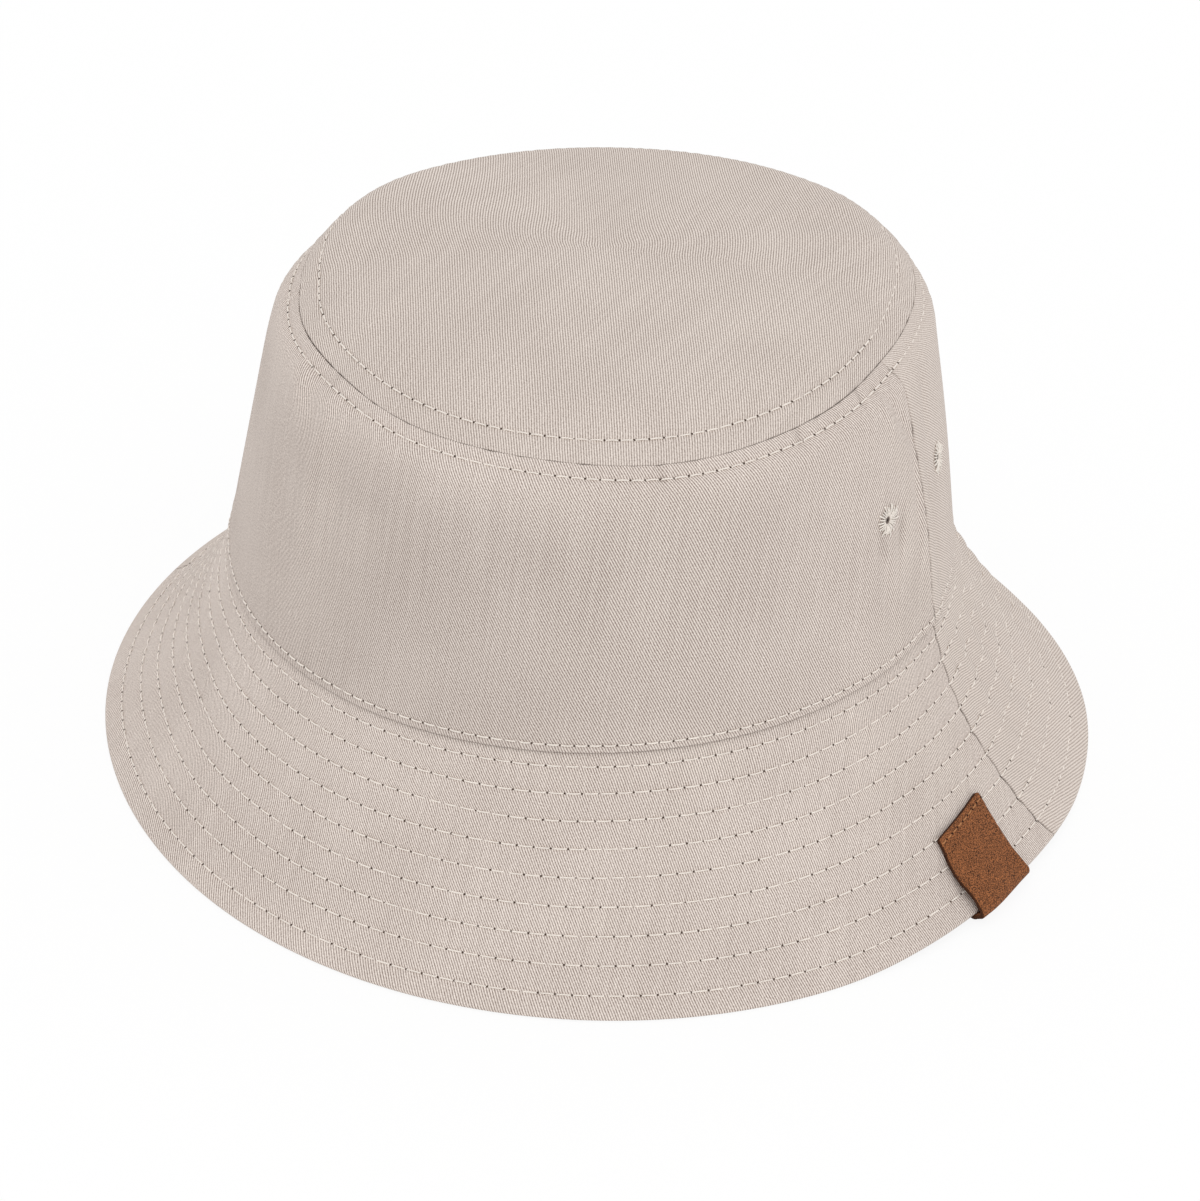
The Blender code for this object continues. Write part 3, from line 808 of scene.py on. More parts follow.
def make_crown_side(side, centre, twill):
    hole_line = pi / 2 - eyelet_turn()
    azimuths = half_azimuths(centre, PANEL_COLUMNS, (-hole_line, hole_line))
    lines = (0, BASE_ROW_ABOVE_SEAM, EYELET_ALONG, TIP_LOWER_LINE, SIDE_PANEL_HEIGHT)
    alongs = spaced(FOLD_RADIUS, SIDE_PANEL_HEIGHT - SEAM_CLEAR, lines, *CROWN_STEPS)
    azimuth, along = np.meshgrid(azimuths, alongs)
    face = cloth(azimuth, along, crown_relief(azimuth, along))
    base = np.full_like(azimuths, FOLD_RADIUS)
    turns = np.linspace(FOLD_TURN, 0, FOLD_STEPS)[:-1]
    depth = crown_relief(azimuths, base)
    fold = [cloth(azimuths, base * (1 - sin(turn)), depth + FOLD_RADIUS * (1 - cos(turn))) for turn in turns]
    points = np.concatenate([np.stack(fold), face])
    middle = (points[:-1, :-1] + points[1:, 1:]) / 2
    keep = np.ones(middle.shape[:2], bool)
    for spot in eyelet_places():
        keep &= np.linalg.norm(middle - spot[0], axis=-1) > EYELET_HOLE
    fold_alongs = alongs[0] - FOLD_RADIUS * turns
    return add_panel("crown_side_" + side, centre, WALL_LEAN, azimuths, (fold_alongs, alongs), (points,),
                     twill, crown_shade, keep=keep)


def make_crown_tip(twill):
    azimuths = np.linspace(-pi, pi, TIP_COLUMNS + 1)
    lines = (SIDE_PANEL_HEIGHT, TIP_UPPER_LINE)
    alongs = spaced(SIDE_PANEL_HEIGHT + SEAM_CLEAR, TIP_CENTRE - TIP_MIDDLE, lines, *TIP_STEPS)
    azimuth, along = np.meshgrid(azimuths, alongs)
    points = cloth(azimuth, along, crown_relief(azimuth, along))
    half_width, half_length, _ = profile(along)
    stretch = 2 * (TIP_CENTRE - along) / (half_width + half_length)
    plan = (half_width * np.cos(azimuth) + 1j * half_length * np.sin(azimuth)) * stretch
    plan = plan * np.exp(1j * TIP_GRAIN)
    cut = np.stack([plan.real, plan.imag], -1)
    pole = cloth(np.zeros(1), np.full(1, TIP_CENTRE), np.zeros(1))
    return add_sheet("crown_tip", "twill", "twill", points, cut, twill, CLOTH, closed=True, pole=pole,
                     shade=crown_shade(azimuth, along))


def inner_ring(node, finish, slot, alongs, depth, thickness, material, lean=None):
    """A closed band inside the hat that faces inward, cut straight or, with a lean, as a ring."""
    azimuth, along = np.meshgrid(np.linspace(-pi, pi, RING_COLUMNS + 1), alongs)
    points = cloth(azimuth, along, depth + thickness + 0 * along)
    half_width, half_length, _ = profile(np.mean(alongs))
    straight = np.stack([azimuth * (half_width + half_length) / 2, along], -1)
    cut = straight if lean is None else ring_cut(azimuth, along, 0, lean)
    return add_sheet(node, finish, slot, points, cut, material, thickness, closed=True, flip=True)


def make_side_tape(side, azimuth, material):
    """Woven tape over a side seam inside the crown."""
    columns, rows = TAPE_SIZE
    alongs = np.linspace(SWEATBAND_HEIGHT + GAP, SIDE_PANEL_HEIGHT - TAPE_WIDTH / 2 - GAP, rows)
    across, along = np.meshgrid(np.linspace(-TAPE_WIDTH / 2, TAPE_WIDTH / 2, columns), alongs)
    turn = azimuth + across / profile(along)[1]
    points = cloth(turn, along, LINING_DEPTH + TAPE + 0 * along)
    cut = np.stack([across, along], -1)
    return add_sheet("side_seam_tape_" + side, "woven", "tape", points, cut, material, TAPE, flip=True)


def eyelet_places():
    """Centre, outward direction and upward direction of each air hole, with the node that it stands for."""
    turn = eyelet_turn()
    azimuths = np.array((-turn, turn, pi + turn, pi - turn))
    along = np.full(4, EYELET_ALONG)
    centres = cloth(azimuths, along, np.zeros(4))
    ups = cloth(azimuths, along + NUDGE, np.zeros(4)) - centres
    nodes = ("eyelet_right_front", "eyelet_right_back", "eyelet_left_front", "eyelet_left_back")
    return list(zip(centres, outward(azimuths, along), ups / NUDGE, nodes))


# Materials

# Twill: wales, streaks and slubs along the warp by width and length, speckle, tone, and the start and weights
# of wale, speckle, streak, slub and tone in its colour
WALE = 0.0006
WALE_LEAN = radians(33.5)
WALE_RANGE = 0.02, 0.72
STREAK = 0.0008, 0.05
SLUB = 0.0005, 0.005
SLUB_RANGE = 0.64, 0.75
SPECKLE = 0.00042
TONE = 0.03
TWILL_START = -0.068
TWILL_WEIGHTS = 0.62, 0.30, 0.06, 0.13, 0.06
TWILL_BUMP = 0.00014
FIBRE_RANGE = 0.36, 0.64
PATCH_SIZE = 9

# Twills: name, and sRGB colours of the valleys, darkened with painted shade, and of the wales
TWILLS = (
    ("stone_twill", (138, 121, 112), (249, 238, 229)),
    ("stone_twill_tip", (148, 133, 124), (243, 232, 223)),
    ("stone_twill_cross_grain", (172, 158, 149), (235, 224, 215)),
)

# Fibrous finishes: name, sRGB colour, roughness, grain, contrast and, for some, sheen, bump and patches
FINISHES = (
    ("pale_thread", (238, 229, 220), 0.7, 0.0003, 0.1, 0.1),
    ("overcast_thread", (238, 230, 221), 0.7, 0.0003, 0.14, 0.1),
    # Needle holes: painted shade, on the dark discs between the stitches
    ("painted_hole_shade", (80, 65, 56), 0.95, 0.0004, 0.15),
    ("white_interlining", (225, 221, 214), 0.95, 0.0006, 0.1),
    ("pale_tape", (214, 206, 198), 0.85, 0.0005, 0.1),
    ("brown_suede", (132, 81, 47), 0.95, 0.00027, 0.92, 0.05, 0.0002, 0.12),
    # Cut edge of the suede: a darker dye, with painted shade on the strip's thickness
    ("suede_edge_dye_and_shade", (72, 42, 25), 0.95, 0.0003, 0.3),
    ("brown_thread", (176, 122, 80), 0.75, 0.0003, 0.15),
    # Needle holes in the tab: painted shade, on the dark discs between its stitches
    ("tab_painted_hole_shade", (44, 25, 15), 0.95, 0.0004, 0.15),
    ("white_satin", (235, 233, 228), 0.45, 0.0004, 0.04),
)


def add_node(tree, kind, inputs=None, output=0, **settings):
    """An output of a new node with its settings, and its inputs as values or as links from other outputs."""
    made = tree.nodes.new(kind)
    for key, value in settings.items():
        setattr(made, key, value)
    for key, value in (inputs or {}).items():
        if isinstance(value, bpy.types.NodeSocket):
            tree.links.new(value, made.inputs[key])
        else:
            made.inputs[key].default_value = value
    return made.outputs[output] if made.outputs else None


def math_node(tree, operation, first, second=0.0, third=0.0):
    return add_node(tree, "ShaderNodeMath", {0: first, 1: second, 2: third}, operation=operation)


def linear(red, green, blue):
    """An sRGB colour of 0 to 255 as linear light."""
    share = np.array((red, green, blue)) / 255
    return tuple(np.where(share <= 0.04045, share / 12.92, ((share + 0.055) / 1.055) ** 2.4))


# Colour of the painted shade in folds, creases and air holes
PAINTED_SHADE_COLOUR = linear(74, 60, 52)


def new_material(name, colour, roughness, sheen):
    """A material whose constants sit on the shader's own sockets, with its tree and shader."""
    material = bpy.data.materials.new(name)
    material.use_nodes = True
    shader = material.node_tree.nodes["Principled BSDF"]
    for socket, value in (("Base Color", (*colour, 1)), ("Roughness", roughness), ("Specular IOR Level", 0.2),
                          ("Sheen Weight", sheen), ("Sheen Roughness", 0.5)):
        shader.inputs[socket].default_value = value
    return material, material.node_tree, shader


def mapped(tree, vector, scale=(1, 1, 1), turn=0.0):
    return add_node(tree, "ShaderNodeMapping", {"Vector": vector, "Scale": scale, "Rotation": (0, 0, turn)})


def stepped(tree, value, low, high):
    """A value spread smoothly from 0 at low to 1 at high."""
    return add_node(tree, "ShaderNodeMapRange", {"Value": value, "From Min": low, "From Max": high}, "Result",
                    interpolation_type="SMOOTHSTEP")


def spread_noise(tree, vector, size, detail=2.0, low=0.28, high=0.72):
    """Noise with features of about the given size, spread over the whole range from 0 to 1."""
    settings = {"Vector": vector, "Scale": 1 / size, "Detail": detail, "Roughness": 0.55}
    return stepped(tree, add_node(tree, "ShaderNodeTexNoise", settings, "Fac"), low, high)


def stretched_noise(tree, cut, size, *spread):
    """Noise stretched along the warp, its size given across and along it."""
    across, along = size
    return spread_noise(tree, mapped(tree, cut, scale=(1 / across, 1 / along, 1)), 1.0, 1.0, *spread)


def weighted(tree, terms, start):
    """A start value plus each value times its weight."""
    total = start
    for value, weight in terms:
        total = math_node(tree, "MULTIPLY_ADD", value, weight, total)
    return total


def mixed(tree, share, first, second):
    return add_node(tree, "ShaderNodeMix", {"Factor": share, 6: first, 7: second}, 2, data_type="RGBA")


def dress(tree, shader, dark, light, share, height, distance, shaded=None):
    """Colours a shader between two colours by a share, and raises its surface by a height.

    Where a shaded value is given, the colour goes towards that of painted shade in a fold.
    """
    tint = mixed(tree, share, (*dark, 1), (*light, 1))
    if shaded is not None:
        tint = mixed(tree, shaded, tint, (*PAINTED_SHADE_COLOUR, 1))
    tree.links.new(tint, shader.inputs["Base Color"])
    bump = add_node(tree, "ShaderNodeBump", {"Height": height, "Strength": 0.6, "Distance": distance})
    tree.links.new(bump, shader.inputs["Normal"])


def make_twill(name, dark, light):
    """Cotton twill: slanted wales with shaded valleys, streaks and slubs along the warp, speckle and tone."""
    middle = tuple((np.array(dark) + np.array(light)) / 2)
    material, tree, shader = new_material(name, middle, roughness=0.92, sheen=0.04)
    cut = add_node(tree, "ShaderNodeUVMap", uv_map="cut")
    settings = {"Vector": mapped(tree, cut, turn=-WALE_LEAN), "Scale": pi / 10 / WALE, "Distortion": 1.5,
                "Detail": 2.0, "Detail Scale": 0.35}
    wave = add_node(tree, "ShaderNodeTexWave", settings, "Fac", wave_type="BANDS", bands_direction="X",
                    wave_profile="SIN")
    wale = stepped(tree, wave, *WALE_RANGE)
    streak = stretched_noise(tree, cut, STREAK)
    slub = stretched_noise(tree, cut, SLUB, *SLUB_RANGE)
    speckle = spread_noise(tree, cut, SPECKLE, 1.0)
    tone = spread_noise(tree, cut, TONE)
    share = weighted(tree, zip((wale, speckle, streak, slub, tone), TWILL_WEIGHTS), TWILL_START)
    share = add_node(tree, "ShaderNodeClamp", {"Value": share})
    height = weighted(tree, ((speckle, 0.5), (slub, 0.5)), wale)
    # The points' shade attribute: painted shade in folds, creases, air holes and on the front wall
    folds = add_node(tree, "ShaderNodeAttribute", None, "Fac", attribute_name="shade")
    dress(tree, shader, dark, light, share, height, TWILL_BUMP, folds)
    return material


def make_speckled(name, colour, roughness, size, contrast, sheen=0.0, distance=0.00008, patches=0.3):
    """A fibrous finish whose tone and height vary with noise on the object's own coordinates."""
    material, tree, shader = new_material(name, colour, roughness, sheen)
    place = add_node(tree, "ShaderNodeTexCoord", None, "Object")
    fibre = spread_noise(tree, place, size, 3.0, *FIBRE_RANGE)
    patch = spread_noise(tree, place, PATCH_SIZE * size)
    share = weighted(tree, ((fibre, 1 - patches), (patch, patches)), 0.0)
    dark, light = (tuple(np.array(colour) * (1 + change)) for change in (-contrast, contrast))
    dress(tree, shader, dark, light, share, fibre, distance)
    return material


# Grown thread

def new_tree(name):
    """A geometry tree that grows a path, with the path's output inside it."""
    tree = bpy.data.node_groups.new(name, "GeometryNodeTree")
    for title, way in (("Path", "INPUT"), ("Geometry", "OUTPUT")):
        tree.interface.new_socket(title, in_out=way, socket_type="NodeSocketGeometry")
    return tree, tree.nodes.new("NodeGroupInput").outputs[0]


def finish_tree(tree, *parts):
    """Joins the parts that a tree has grown as its result."""
    both = tree.nodes.new("GeometryNodeJoinGeometry")
    for part in parts:
        tree.links.new(part, both.inputs[0])
    result = tree.nodes.new("NodeGroupOutput")
    tree.links.new(both.outputs[0], result.inputs[0])


def bent_thread(tree, start, middle, end, radius, steps):
    """A short thread that bows up between two ends."""
    curve = add_node(tree, "GeometryNodeCurveQuadraticBezier",
                     {"Resolution": steps, "Start": start, "Middle": middle, "End": end})
    ring = add_node(tree, "GeometryNodeCurvePrimitiveCircle", {"Resolution": 6, "Radius": radius})
    parts = {"Curve": curve, "Profile Curve": ring, "Fill Caps": True}
    return add_node(tree, "GeometryNodeSetShadeSmooth", {0: add_node(tree, "GeometryNodeCurveToMesh", parts)})


def named_vector(tree, name):
    return add_node(tree, "GeometryNodeInputNamedAttribute", {"Name": name}, "Attribute",
                    data_type="FLOAT_VECTOR")


def scaled(tree, vector, factor):
    return add_node(tree, "ShaderNodeVectorMath", {0: vector, 3: factor}, operation="SCALE")


def turned(tree, upright, second, axis):
    """A rotation that stands Z along one direction and points another axis along a second."""
    return add_node(tree, "FunctionNodeAxesToRotation", {"Primary Axis": upright, "Secondary Axis": second},
                    primary_axis="Z", secondary_axis=axis)


def uneven(tree, least, most, seed):
    """Random scales between two limits."""
    limits = {0: least, 1: most, "Seed": seed}
    return add_node(tree, "FunctionNodeRandomValue", limits, data_type="FLOAT_VECTOR")


def copies(tree, points, shape, turn, size=(1, 1, 1)):
    """Copies of a shape on points."""
    return add_node(tree, "GeometryNodeInstanceOnPoints",
                    {"Points": points, "Instance": shape, "Rotation": turn, "Scale": size})


def dressed(tree, shapes, material):
    """Copies as one mesh of a material."""
    mesh = add_node(tree, "GeometryNodeRealizeInstances", {0: shapes})
    return add_node(tree, "GeometryNodeSetMaterial", {"Geometry": mesh, "Material": material})


def stitch_tree(count, length, pitch, bow, seed, thread, hole):
    """Stitches along a path of edges whose points carry the direction away from the cloth."""
    tree, path = new_tree("sewn_row")
    curve = add_node(tree, "GeometryNodeMeshToCurve", {0: path})
    curve = add_node(tree, "GeometryNodeResampleCurve", {"Curve": curve, "Count": count})
    tangent = add_node(tree, "GeometryNodeInputTangent")
    away = named_vector(tree, "away")
    turn = turned(tree, away, tangent, "X")
    half, low, high = length / 2, -STITCH_DIP, 2 * bow + STITCH_DIP
    stitch = bent_thread(tree, (-half, 0, low), (0, 0, high), (half, 0, low), THREAD_RADIUS, STITCH_STEPS)
    size = uneven(tree, *STITCH_SCALES, seed)
    rows = dressed(tree, copies(tree, curve, stitch, turn, size), thread)
    move = {0: scaled(tree, tangent, pitch / 2), 1: scaled(tree, away, HOLE_SHADE_LIFT)}
    move = add_node(tree, "ShaderNodeVectorMath", move, operation="ADD")
    between = add_node(tree, "GeometryNodeSetPosition", {"Geometry": curve, "Offset": move})
    # Dark discs between the stitches: painted shade in the needle holes
    pit = add_node(tree, "GeometryNodeMeshCircle", {"Vertices": 8, "Radius": HOLE_SHADE_RADIUS}, fill_type="NGON")
    finish_tree(tree, rows, dressed(tree, copies(tree, between, pit, turn), hole))
    return tree


def eyelet_tree(seed, thread):
    """Overcast threads round an air hole, on a point that carries the ways out and up."""
    tree, path = new_tree("overcast_hole")
    circle = {"Resolution": EYELET_THREADS, "Radius": EYELET_SPOKES}
    spokes = add_node(tree, "GeometryNodeCurvePrimitiveCircle", circle)
    turn = turned(tree, (0, 0, 1), add_node(tree, "GeometryNodeInputTangent"), "Y")
    inner, middle = (EYELET_INNER, 0, EYELET_LOW), (EYELET_MIDDLE, 0, EYELET_HIGH)
    outer = (EYELET_RADIUS, 0, EYELET_THREAD)
    overcast = bent_thread(tree, inner, middle, outer, EYELET_THREAD, EYELET_STEPS)
    ring = copies(tree, spokes, overcast, turn, uneven(tree, *EYELET_SCALES, seed))
    face = turned(tree, named_vector(tree, "away"), named_vector(tree, "upward"), "Y")
    finish_tree(tree, dressed(tree, copies(tree, path, ring, face), thread))
    return tree


def grown(name, points, edges, directions, tree, body="hat"):
    """A plain mesh grown by a geometry tree on a path of points that carry named directions."""
    path = bpy.data.meshes.new(name)
    path.from_pydata([tuple(spot) for spot in points], edges, [])
    for title, vectors in directions.items():
        attribute = path.attributes.new(title, "FLOAT_VECTOR", "POINT")
        attribute.data.foreach_set("vector", np.asarray(vectors, np.float32).ravel())
    piece = add_object(name, path)
    modifier = piece.modifiers.new("grown", "NODES")
    modifier.node_group = tree
    depsgraph = bpy.context.evaluated_depsgraph_get()
    mesh = bpy.data.meshes.new_from_object(piece.evaluated_get(depsgraph))
    piece.modifiers.remove(modifier)
    piece.data = mesh
    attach(piece, body)
    return piece


# Sewing

def sewn_row(name, paths, pitch, thread, hole, seed, bow=STITCH_BOW, body="hat",
             share=STITCH_SHARE):
    """Stitches along open paths, each given as its points and the directions away from the cloth."""
    points, edges, away = [], [], []
    for line, normals in paths:
        start = len(points)
        points += list(line)
        away += list(normals)
        edges += [(start + i, start + i + 1) for i in range(len(line) - 1)]
    length = float(np.linalg.norm(np.diff(paths[0][0], axis=0), axis=1).sum())
    count = round(length / pitch) + 1
    step = length / (count - 1)
    tree = stitch_tree(count, step * share, step, bow, seed, thread, hole)
    return grown(name, points, edges, {"away": away}, tree, body)


def loop_path(along, relief=None, depth=0.0):
    """A row round the hat on its face, or inside at a depth, with the directions away from the cloth."""
    azimuth = np.linspace(ROW_START - pi, ROW_START + pi, ROW_POINTS + 1)[:-1]
    rows = np.full_like(azimuth, along)
    normal = outward(azimuth, rows)
    if relief is None:
        return cloth(azimuth, rows, depth + 0 * rows), -normal
    sunk = STITCH_SUNK * window(azimuth, *SUNK_WINDOW)
    return cloth(azimuth, rows, relief(azimuth, rows) - THREAD_STAND + sunk), normal


def make_rows(thread, hole):
    """Every row of sewing on the hat, with its under side inside the hat."""
    brim_depth = BRIM_LAYERS - UNDER_ROW_SINK * FURROW_DEPTH
    rows = [("brim_stitch_%d" % number, along, brim_relief, brim_depth, BRIM_PITCH)
            for number, along in enumerate(BRIM_LINES, 1)]
    rows += [("crown_base_stitch", BASE_ROW_ABOVE_SEAM, crown_relief, LINING_DEPTH + SWEATBAND, BASE_PITCH),
             ("tip_stitch_upper", TIP_UPPER_LINE, crown_relief, LINING_DEPTH + TAPE, TIP_PITCH),
             ("tip_stitch_lower", TIP_LOWER_LINE, crown_relief, LINING_DEPTH + TAPE, TIP_PITCH)]
    for seed, (node, along, relief, depth, pitch) in enumerate(rows):
        paths = [loop_path(along, relief), loop_path(along, depth=depth)]
        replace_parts(sewn_row(node + "_thread", paths, pitch, thread, hole, seed), node)


def make_eyelets(thread):
    for seed, (spot, away, upward, node) in enumerate(eyelet_places()):
        directions = {"away": [away], "upward": [upward]}
        tree = eyelet_tree(seed, thread)
        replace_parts(grown(node + "_embroidery", [spot], [], directions, tree), node)


# Tab and label

def tab_turns(across, share):
    """Azimuths across the tab, from -1 at its front edge to 1, at a share of the way to the brim's edge."""
    shift = TAB_TOP_SHIFT + (TAB_EDGE_SHIFT - TAB_TOP_SHIFT) * share
    return TAB_AZIMUTH + (across * TAB_WIDTH / 2 + shift) / profile(-BRIM_WIDTH)[0]


def tab_top(across):
    """Place along the brim of the tab's sewn edge, which is cut askew."""
    return TAB_LEG + TAB_LONGER - BRIM_WIDTH - TAB_SHORT_CORNER * (1 - across) / 2


def make_tab(suede, edge_dye_and_shade):
    """Suede strip sewn on the upper brim, round the edge and up the under brim, standing off at the front."""
    across = np.linspace(-1, 1, TAB_COLUMNS)
    loose = ease((1 - across) / TAB_LOOSE)
    rows = []
    for share in TAB_SHARES:
        along = tab_top(across) * (1 - share) + (BRIM_END + TAB_EDGE_LEFT) * share
        corner = max(TAB_ROUND - share * TAB_LEG, 0)
        narrow = TAB_ROUND - sqrt(TAB_ROUND ** 2 - corner ** 2)
        wave = TAB_WAVE * sin(2 * pi * (share * TAB_WAVES + TAB_WAVE_START)) * loose
        turns = tab_turns(across * (1 - 2 * narrow / TAB_WIDTH) + 2 * wave / TAB_WIDTH, share)
        rows.append(cloth(turns, along, -(TAB_STAND + TAB_FLARE * ease(share) * loose + SUEDE)))
    turns = tab_turns(across, 1)
    centre, level, _ = edge_axes(turns)
    drop = EDGE_ROLL + SUEDE + TAB_DROP
    swell = EDGE_ROLL + SUEDE + TAB_STAND + TAB_FLARE * loose
    for turn in np.linspace(*TAB_TURN, TAB_TURN_ROWS):
        upper = ease(turn / TAB_TURN_RUN + 1)
        reach = swell * upper + drop * (1 - upper)
        rise = swell if turn > 0 else drop + 0 * swell
        rows.append(centre + reach[:, None] * cos(turn) * level + rise[:, None] * sin(turn) * UPRIGHT)
    for along in np.linspace(TAB_UNDER_START - BRIM_WIDTH, TAB_LEG - BRIM_WIDTH, TAB_UNDER_ROWS):
        rows.append(cloth(turns, np.full_like(turns, along), BRIM_LAYERS + TAB_UNDER + SUEDE + 0 * turns))
    points = np.stack(rows)[::-1]
    travel = np.linalg.norm(np.diff(points[:, len(across) // 2], axis=0), axis=1)
    run = np.concatenate([[0], np.cumsum(travel)])
    cut = np.stack(np.meshgrid(across * TAB_WIDTH / 2, run), -1)
    piece = add_sheet("suede_tab", "strip", "suede", points, cut, suede, SUEDE)
    # The strip's cut edges take a darker dye, with painted shade on their thickness
    piece.data.materials.append(edge_dye_and_shade)
    piece.modifiers["thickness"].material_offset_rim = 1
    return piece


def make_tab_row(thread, hole):
    across = np.linspace(-1, 1, ROW_COLUMNS) * (1 - 2 * TAB_ROW_INSET / TAB_WIDTH)
    turns, along = tab_turns(across, TAB_ROW_INSET / TAB_LEG), tab_top(across) - TAB_ROW_INSET
    row = cloth(turns, along, -TAB_STAND - SUEDE + 0 * along)
    piece = sewn_row("tab_stitch_thread", [(row, outward(turns, along))], TAB_PITCH, thread, hole,
                     TAB_ROW_SEED, TAB_BOW, share=TAB_STITCH_SHARE)
    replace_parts(piece, "tab_stitch")


def make_label(satin, thread, hole):
    """Blank ribbon, sewn by its top edge to the sweatband."""
    low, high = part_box("care_label")
    face = (low.y + high.y - LABEL) / 2
    columns, rows = LABEL_SIZE
    across, down = np.meshgrid(np.linspace(-1, 1, columns), np.linspace(1, 0, rows))
    curl = LABEL_BEND * np.sin(pi * down) + LABEL_CURL * down * across ** 2
    points = np.stack([across * LABEL_WIDTH / 2, face - curl, high.z - down * LABEL_LENGTH], -1)
    cut = np.stack([across * LABEL_WIDTH / 2, -down * LABEL_LENGTH], -1)
    side = np.linspace(-1, 1, ROW_COLUMNS) * (LABEL_WIDTH / 2 - LABEL_ROW_INSET)
    row = np.stack([side, face - LABEL_ROW_STAND + 0 * side, high.z - LABEL_ROW_INSET + 0 * side], -1)
    away = np.tile((0.0, -1.0, 0.0), (len(side), 1))
    sewn_row("care_label_thread", [(row, away)], LABEL_PITCH, thread, hole, LABEL_ROW_SEED, LABEL_BOW,
             body="label")
    return add_sheet("care_label", "ribbon", "label", points, cut, satin, LABEL, "label")


# Stage

CAMERA_AZIMUTH = radians(25.38)
CAMERA_ELEVATION = radians(34.69)
CAMERA_ROLL = radians(1.45)
CAMERA_DISTANCE = 1.0
CAMERA_TARGET = Vector((0, 0, 0.0318))
CAMERA_ASIDE = 0.00083
CAMERA_LENS = 118.56
CAMERA_CLIP = 0.05
WHITE = (1, 1, 1, 1)
SKY_STRENGTH = 0.98
FLOOR_HALF = 8.0
FLOOR_COLOUR = (0.96, 0.96, 0.96, 1)
FLOOR_GLOW = 0.88
LAMP_PLACE = Vector((1.0, -1.15, 1.4))
LAMP_TARGET = Vector((0, 0, 0.06))
LAMP_SIZE = 1.4
LAMP_POWER = 5.0


def make_camera():
    turn, rise, roll = CAMERA_AZIMUTH, CAMERA_ELEVATION, CAMERA_ROLL
    back = Vector((sin(turn) * cos(rise), -cos(turn) * cos(rise), sin(rise)))
    level = Vector((cos(turn), sin(turn), 0))
    upright = back.cross(level)
    right = level * cos(roll) + upright * sin(roll)
    up = upright * cos(roll) - level * sin(roll)
    camera = add_object("camera", bpy.data.cameras.new("camera"))
    camera.data.lens = CAMERA_LENS
    camera.data.clip_start = CAMERA_CLIP
    place = CAMERA_TARGET + back * CAMERA_DISTANCE + right * CAMERA_ASIDE
    camera.matrix_world = Matrix.Translation(place) @ Matrix((right, up, back)).transposed().to_4x4()
    bpy.context.scene.camera = camera


def seen_directly(tree):
    """1 for rays that show the background itself: camera, glossy and transmission rays."""
    path = tree.nodes.new("ShaderNodeLightPath").outputs
    seen = math_node(tree, "MAXIMUM", path["Is Camera Ray"], path["Is Glossy Ray"])
    return math_node(tree, "MAXIMUM", seen, path["Is Transmission Ray"])


def set_glow(tree, plain, seen, share, output):
    """Clears a tree and shows a plain shader, mixed by a share with a white one where it is seen directly."""
    tree.nodes.clear()
    direct = math_node(tree, "MULTIPLY", seen_directly(tree), share)
    parts = {1: add_node(tree, *plain), 2: add_node(tree, seen, {"Color": WHITE, "Strength": 1.0})}
    mix = add_node(tree, "ShaderNodeMixShader", {0: direct, **parts})
    add_node(tree, output, {"Surface": mix})


def make_sky():
    world = bpy.data.worlds.new("soft_studio")
    world.use_nodes = True
    light = "ShaderNodeBackground", {"Color": WHITE, "Strength": SKY_STRENGTH}
    set_glow(world.node_tree, light, "ShaderNodeBackground", 1.0, "ShaderNodeOutputWorld")
    bpy.context.scene.world = world


def make_floor():
    mesh = bpy.data.meshes.new("floor")
    corners = [(x * FLOOR_HALF, y * FLOOR_HALF, 0) for x, y in ((-1, -1), (1, -1), (1, 1), (-1, 1))]
    mesh.from_pydata(corners, [], [(0, 1, 2, 3)])
    floor = add_object("floor", mesh)
    material = bpy.data.materials.new("white_floor")
    material.use_nodes = True
    matte = "ShaderNodeBsdfDiffuse", {"Color": FLOOR_COLOUR}
    set_glow(material.node_tree, matte, "ShaderNodeEmission", FLOOR_GLOW, "ShaderNodeOutputMaterial")
    mesh.materials.append(material)


def make_lamp():
    lamp = bpy.data.lights.new("front_light", "AREA")
    lamp.size = LAMP_SIZE
    lamp.energy = LAMP_POWER
    holder = add_object("front_light", lamp)
    holder.location = LAMP_PLACE
    holder.rotation_euler = (LAMP_TARGET - LAMP_PLACE).to_track_quat("-Z", "Y").to_euler()


def declare(piece, held, *supports):
    """Reads the places of a sheet's corners on its flat pattern."""
    corners = np.empty(2 * len(piece.data.loops))
    piece.data.uv_layers["cut"].data.foreach_get("uv", corners)
    corners = corners.reshape(-1, 2)


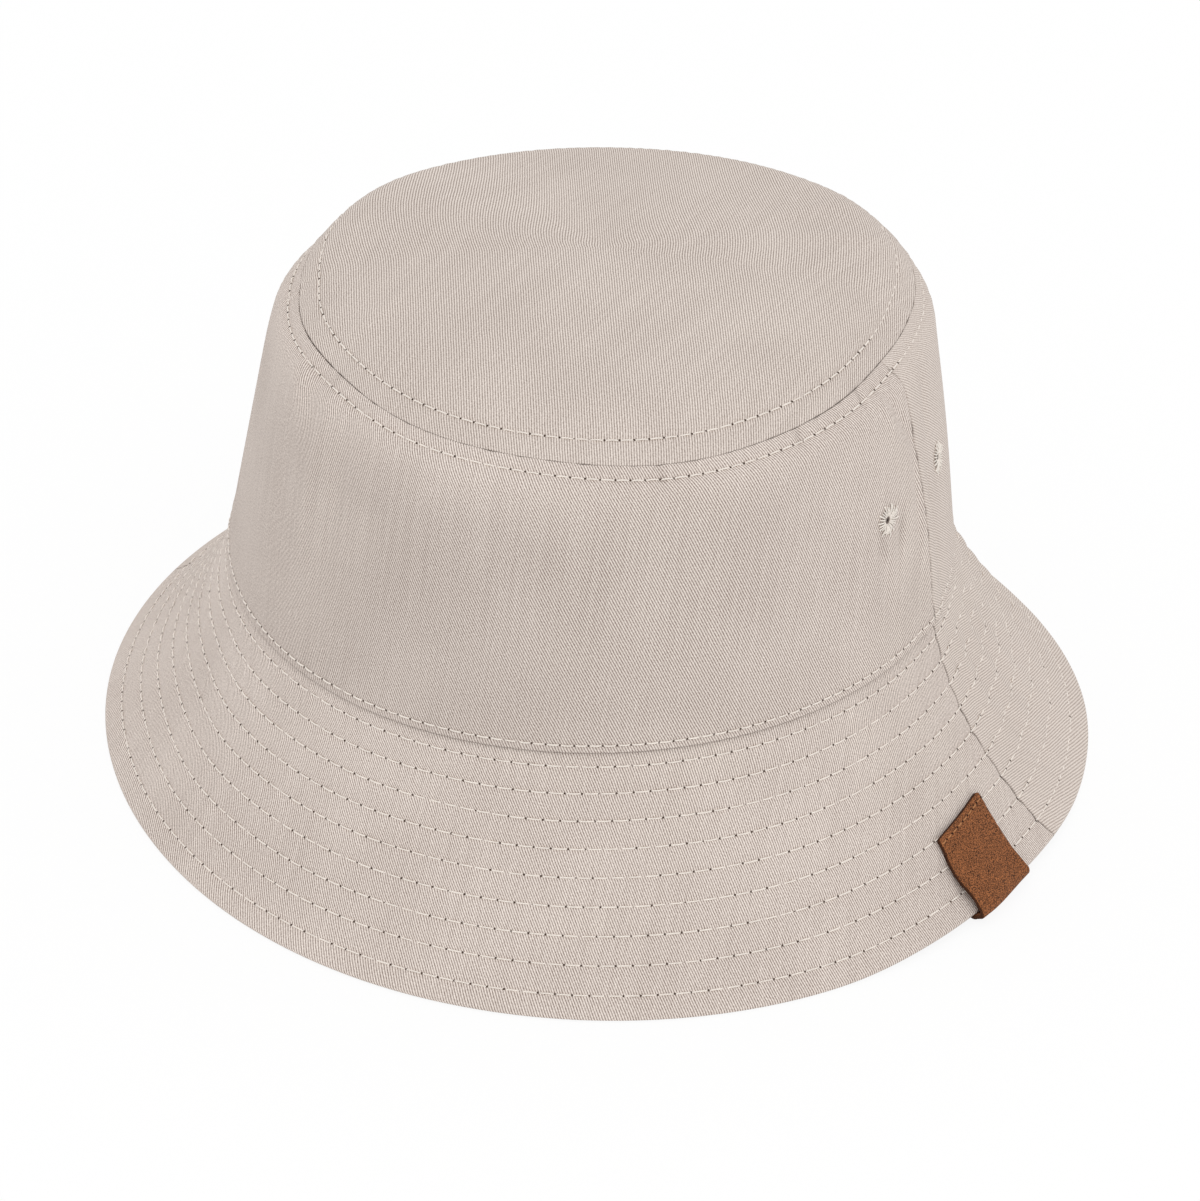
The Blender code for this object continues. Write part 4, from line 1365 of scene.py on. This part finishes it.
def main():
    look = {name: make_twill(name, linear(*dark), linear(*light)) for name, dark, light in TWILLS}
    for name, colour, *finish in FINISHES:
        look[name] = make_speckled(name, linear(*colour), *finish)
    twill, thread = look["stone_twill"], look["pale_thread"]
    # The needle holes' colour is painted shade
    hole, tape = look["painted_hole_shade"], look["pale_tape"]

    uppers, lowers, sides = [], [], []
    for side, centre, kind in (("front", FRONT, twill), ("back", BACK, look["stone_twill_cross_grain"])):
        uppers.append(make_brim_upper(side, centre, kind))
        lowers.append(make_brim_lower(side, centre, twill))
        sides.append(make_crown_side(side, centre, kind))
    tip = make_crown_tip(look["stone_twill_tip"])
    lining_alongs = np.linspace(*INTERLINING_ENDS, INTERLINING_ROWS)
    stiffener = inner_ring("brim_interlining", "stiffener", "interlining", lining_alongs, INTERLINING_DEPTH,
                           INTERLINING, look["white_interlining"], BRIM_LEAN)
    band_alongs = np.linspace(BAND_FOOT, SWEATBAND_HEIGHT, BAND_ROWS)
    band = inner_ring("sweatband", "cotton", "band", band_alongs, LINING_DEPTH, SWEATBAND, twill)
    tape_alongs = SIDE_PANEL_HEIGHT + np.linspace(-TAPE_WIDTH / 2, TAPE_WIDTH / 2, TAPE_SIZE[0])
    tip_tape = inner_ring("tip_seam_tape", "woven", "tape", tape_alongs, LINING_DEPTH, TAPE, tape)
    side_tapes = [make_side_tape("right", 0.0, tape), make_side_tape("left", pi, tape)]

    make_rows(thread, hole)
    make_eyelets(look["overcast_thread"])
    tab = make_tab(look["brown_suede"], look["suede_edge_dye_and_shade"])
    make_tab_row(look["brown_thread"], look["tab_painted_hole_shade"])
    label = make_label(look["white_satin"], thread, hole)

    for upper, lower, side in zip(uppers, lowers, sides):
        declare(upper, "stretched", stiffener)
        declare(lower, "stretched")
        declare(side, "stretched", upper)
    declare(tip, "stretched", *sides)
    declare(stiffener, "laid", *lowers)
    declare(band, "stretched", *sides)
    declare(tip_tape, "stretched", *sides, tip)
    for side_tape in side_tapes:
        declare(side_tape, "stretched", *sides)
    declare(tab, "folded", uppers[0])
    declare(label, "hung", band)

    bpy.context.scene.view_settings.view_transform = "Standard"
    make_sky()
    make_floor()
    make_lamp()
    make_camera()


main()
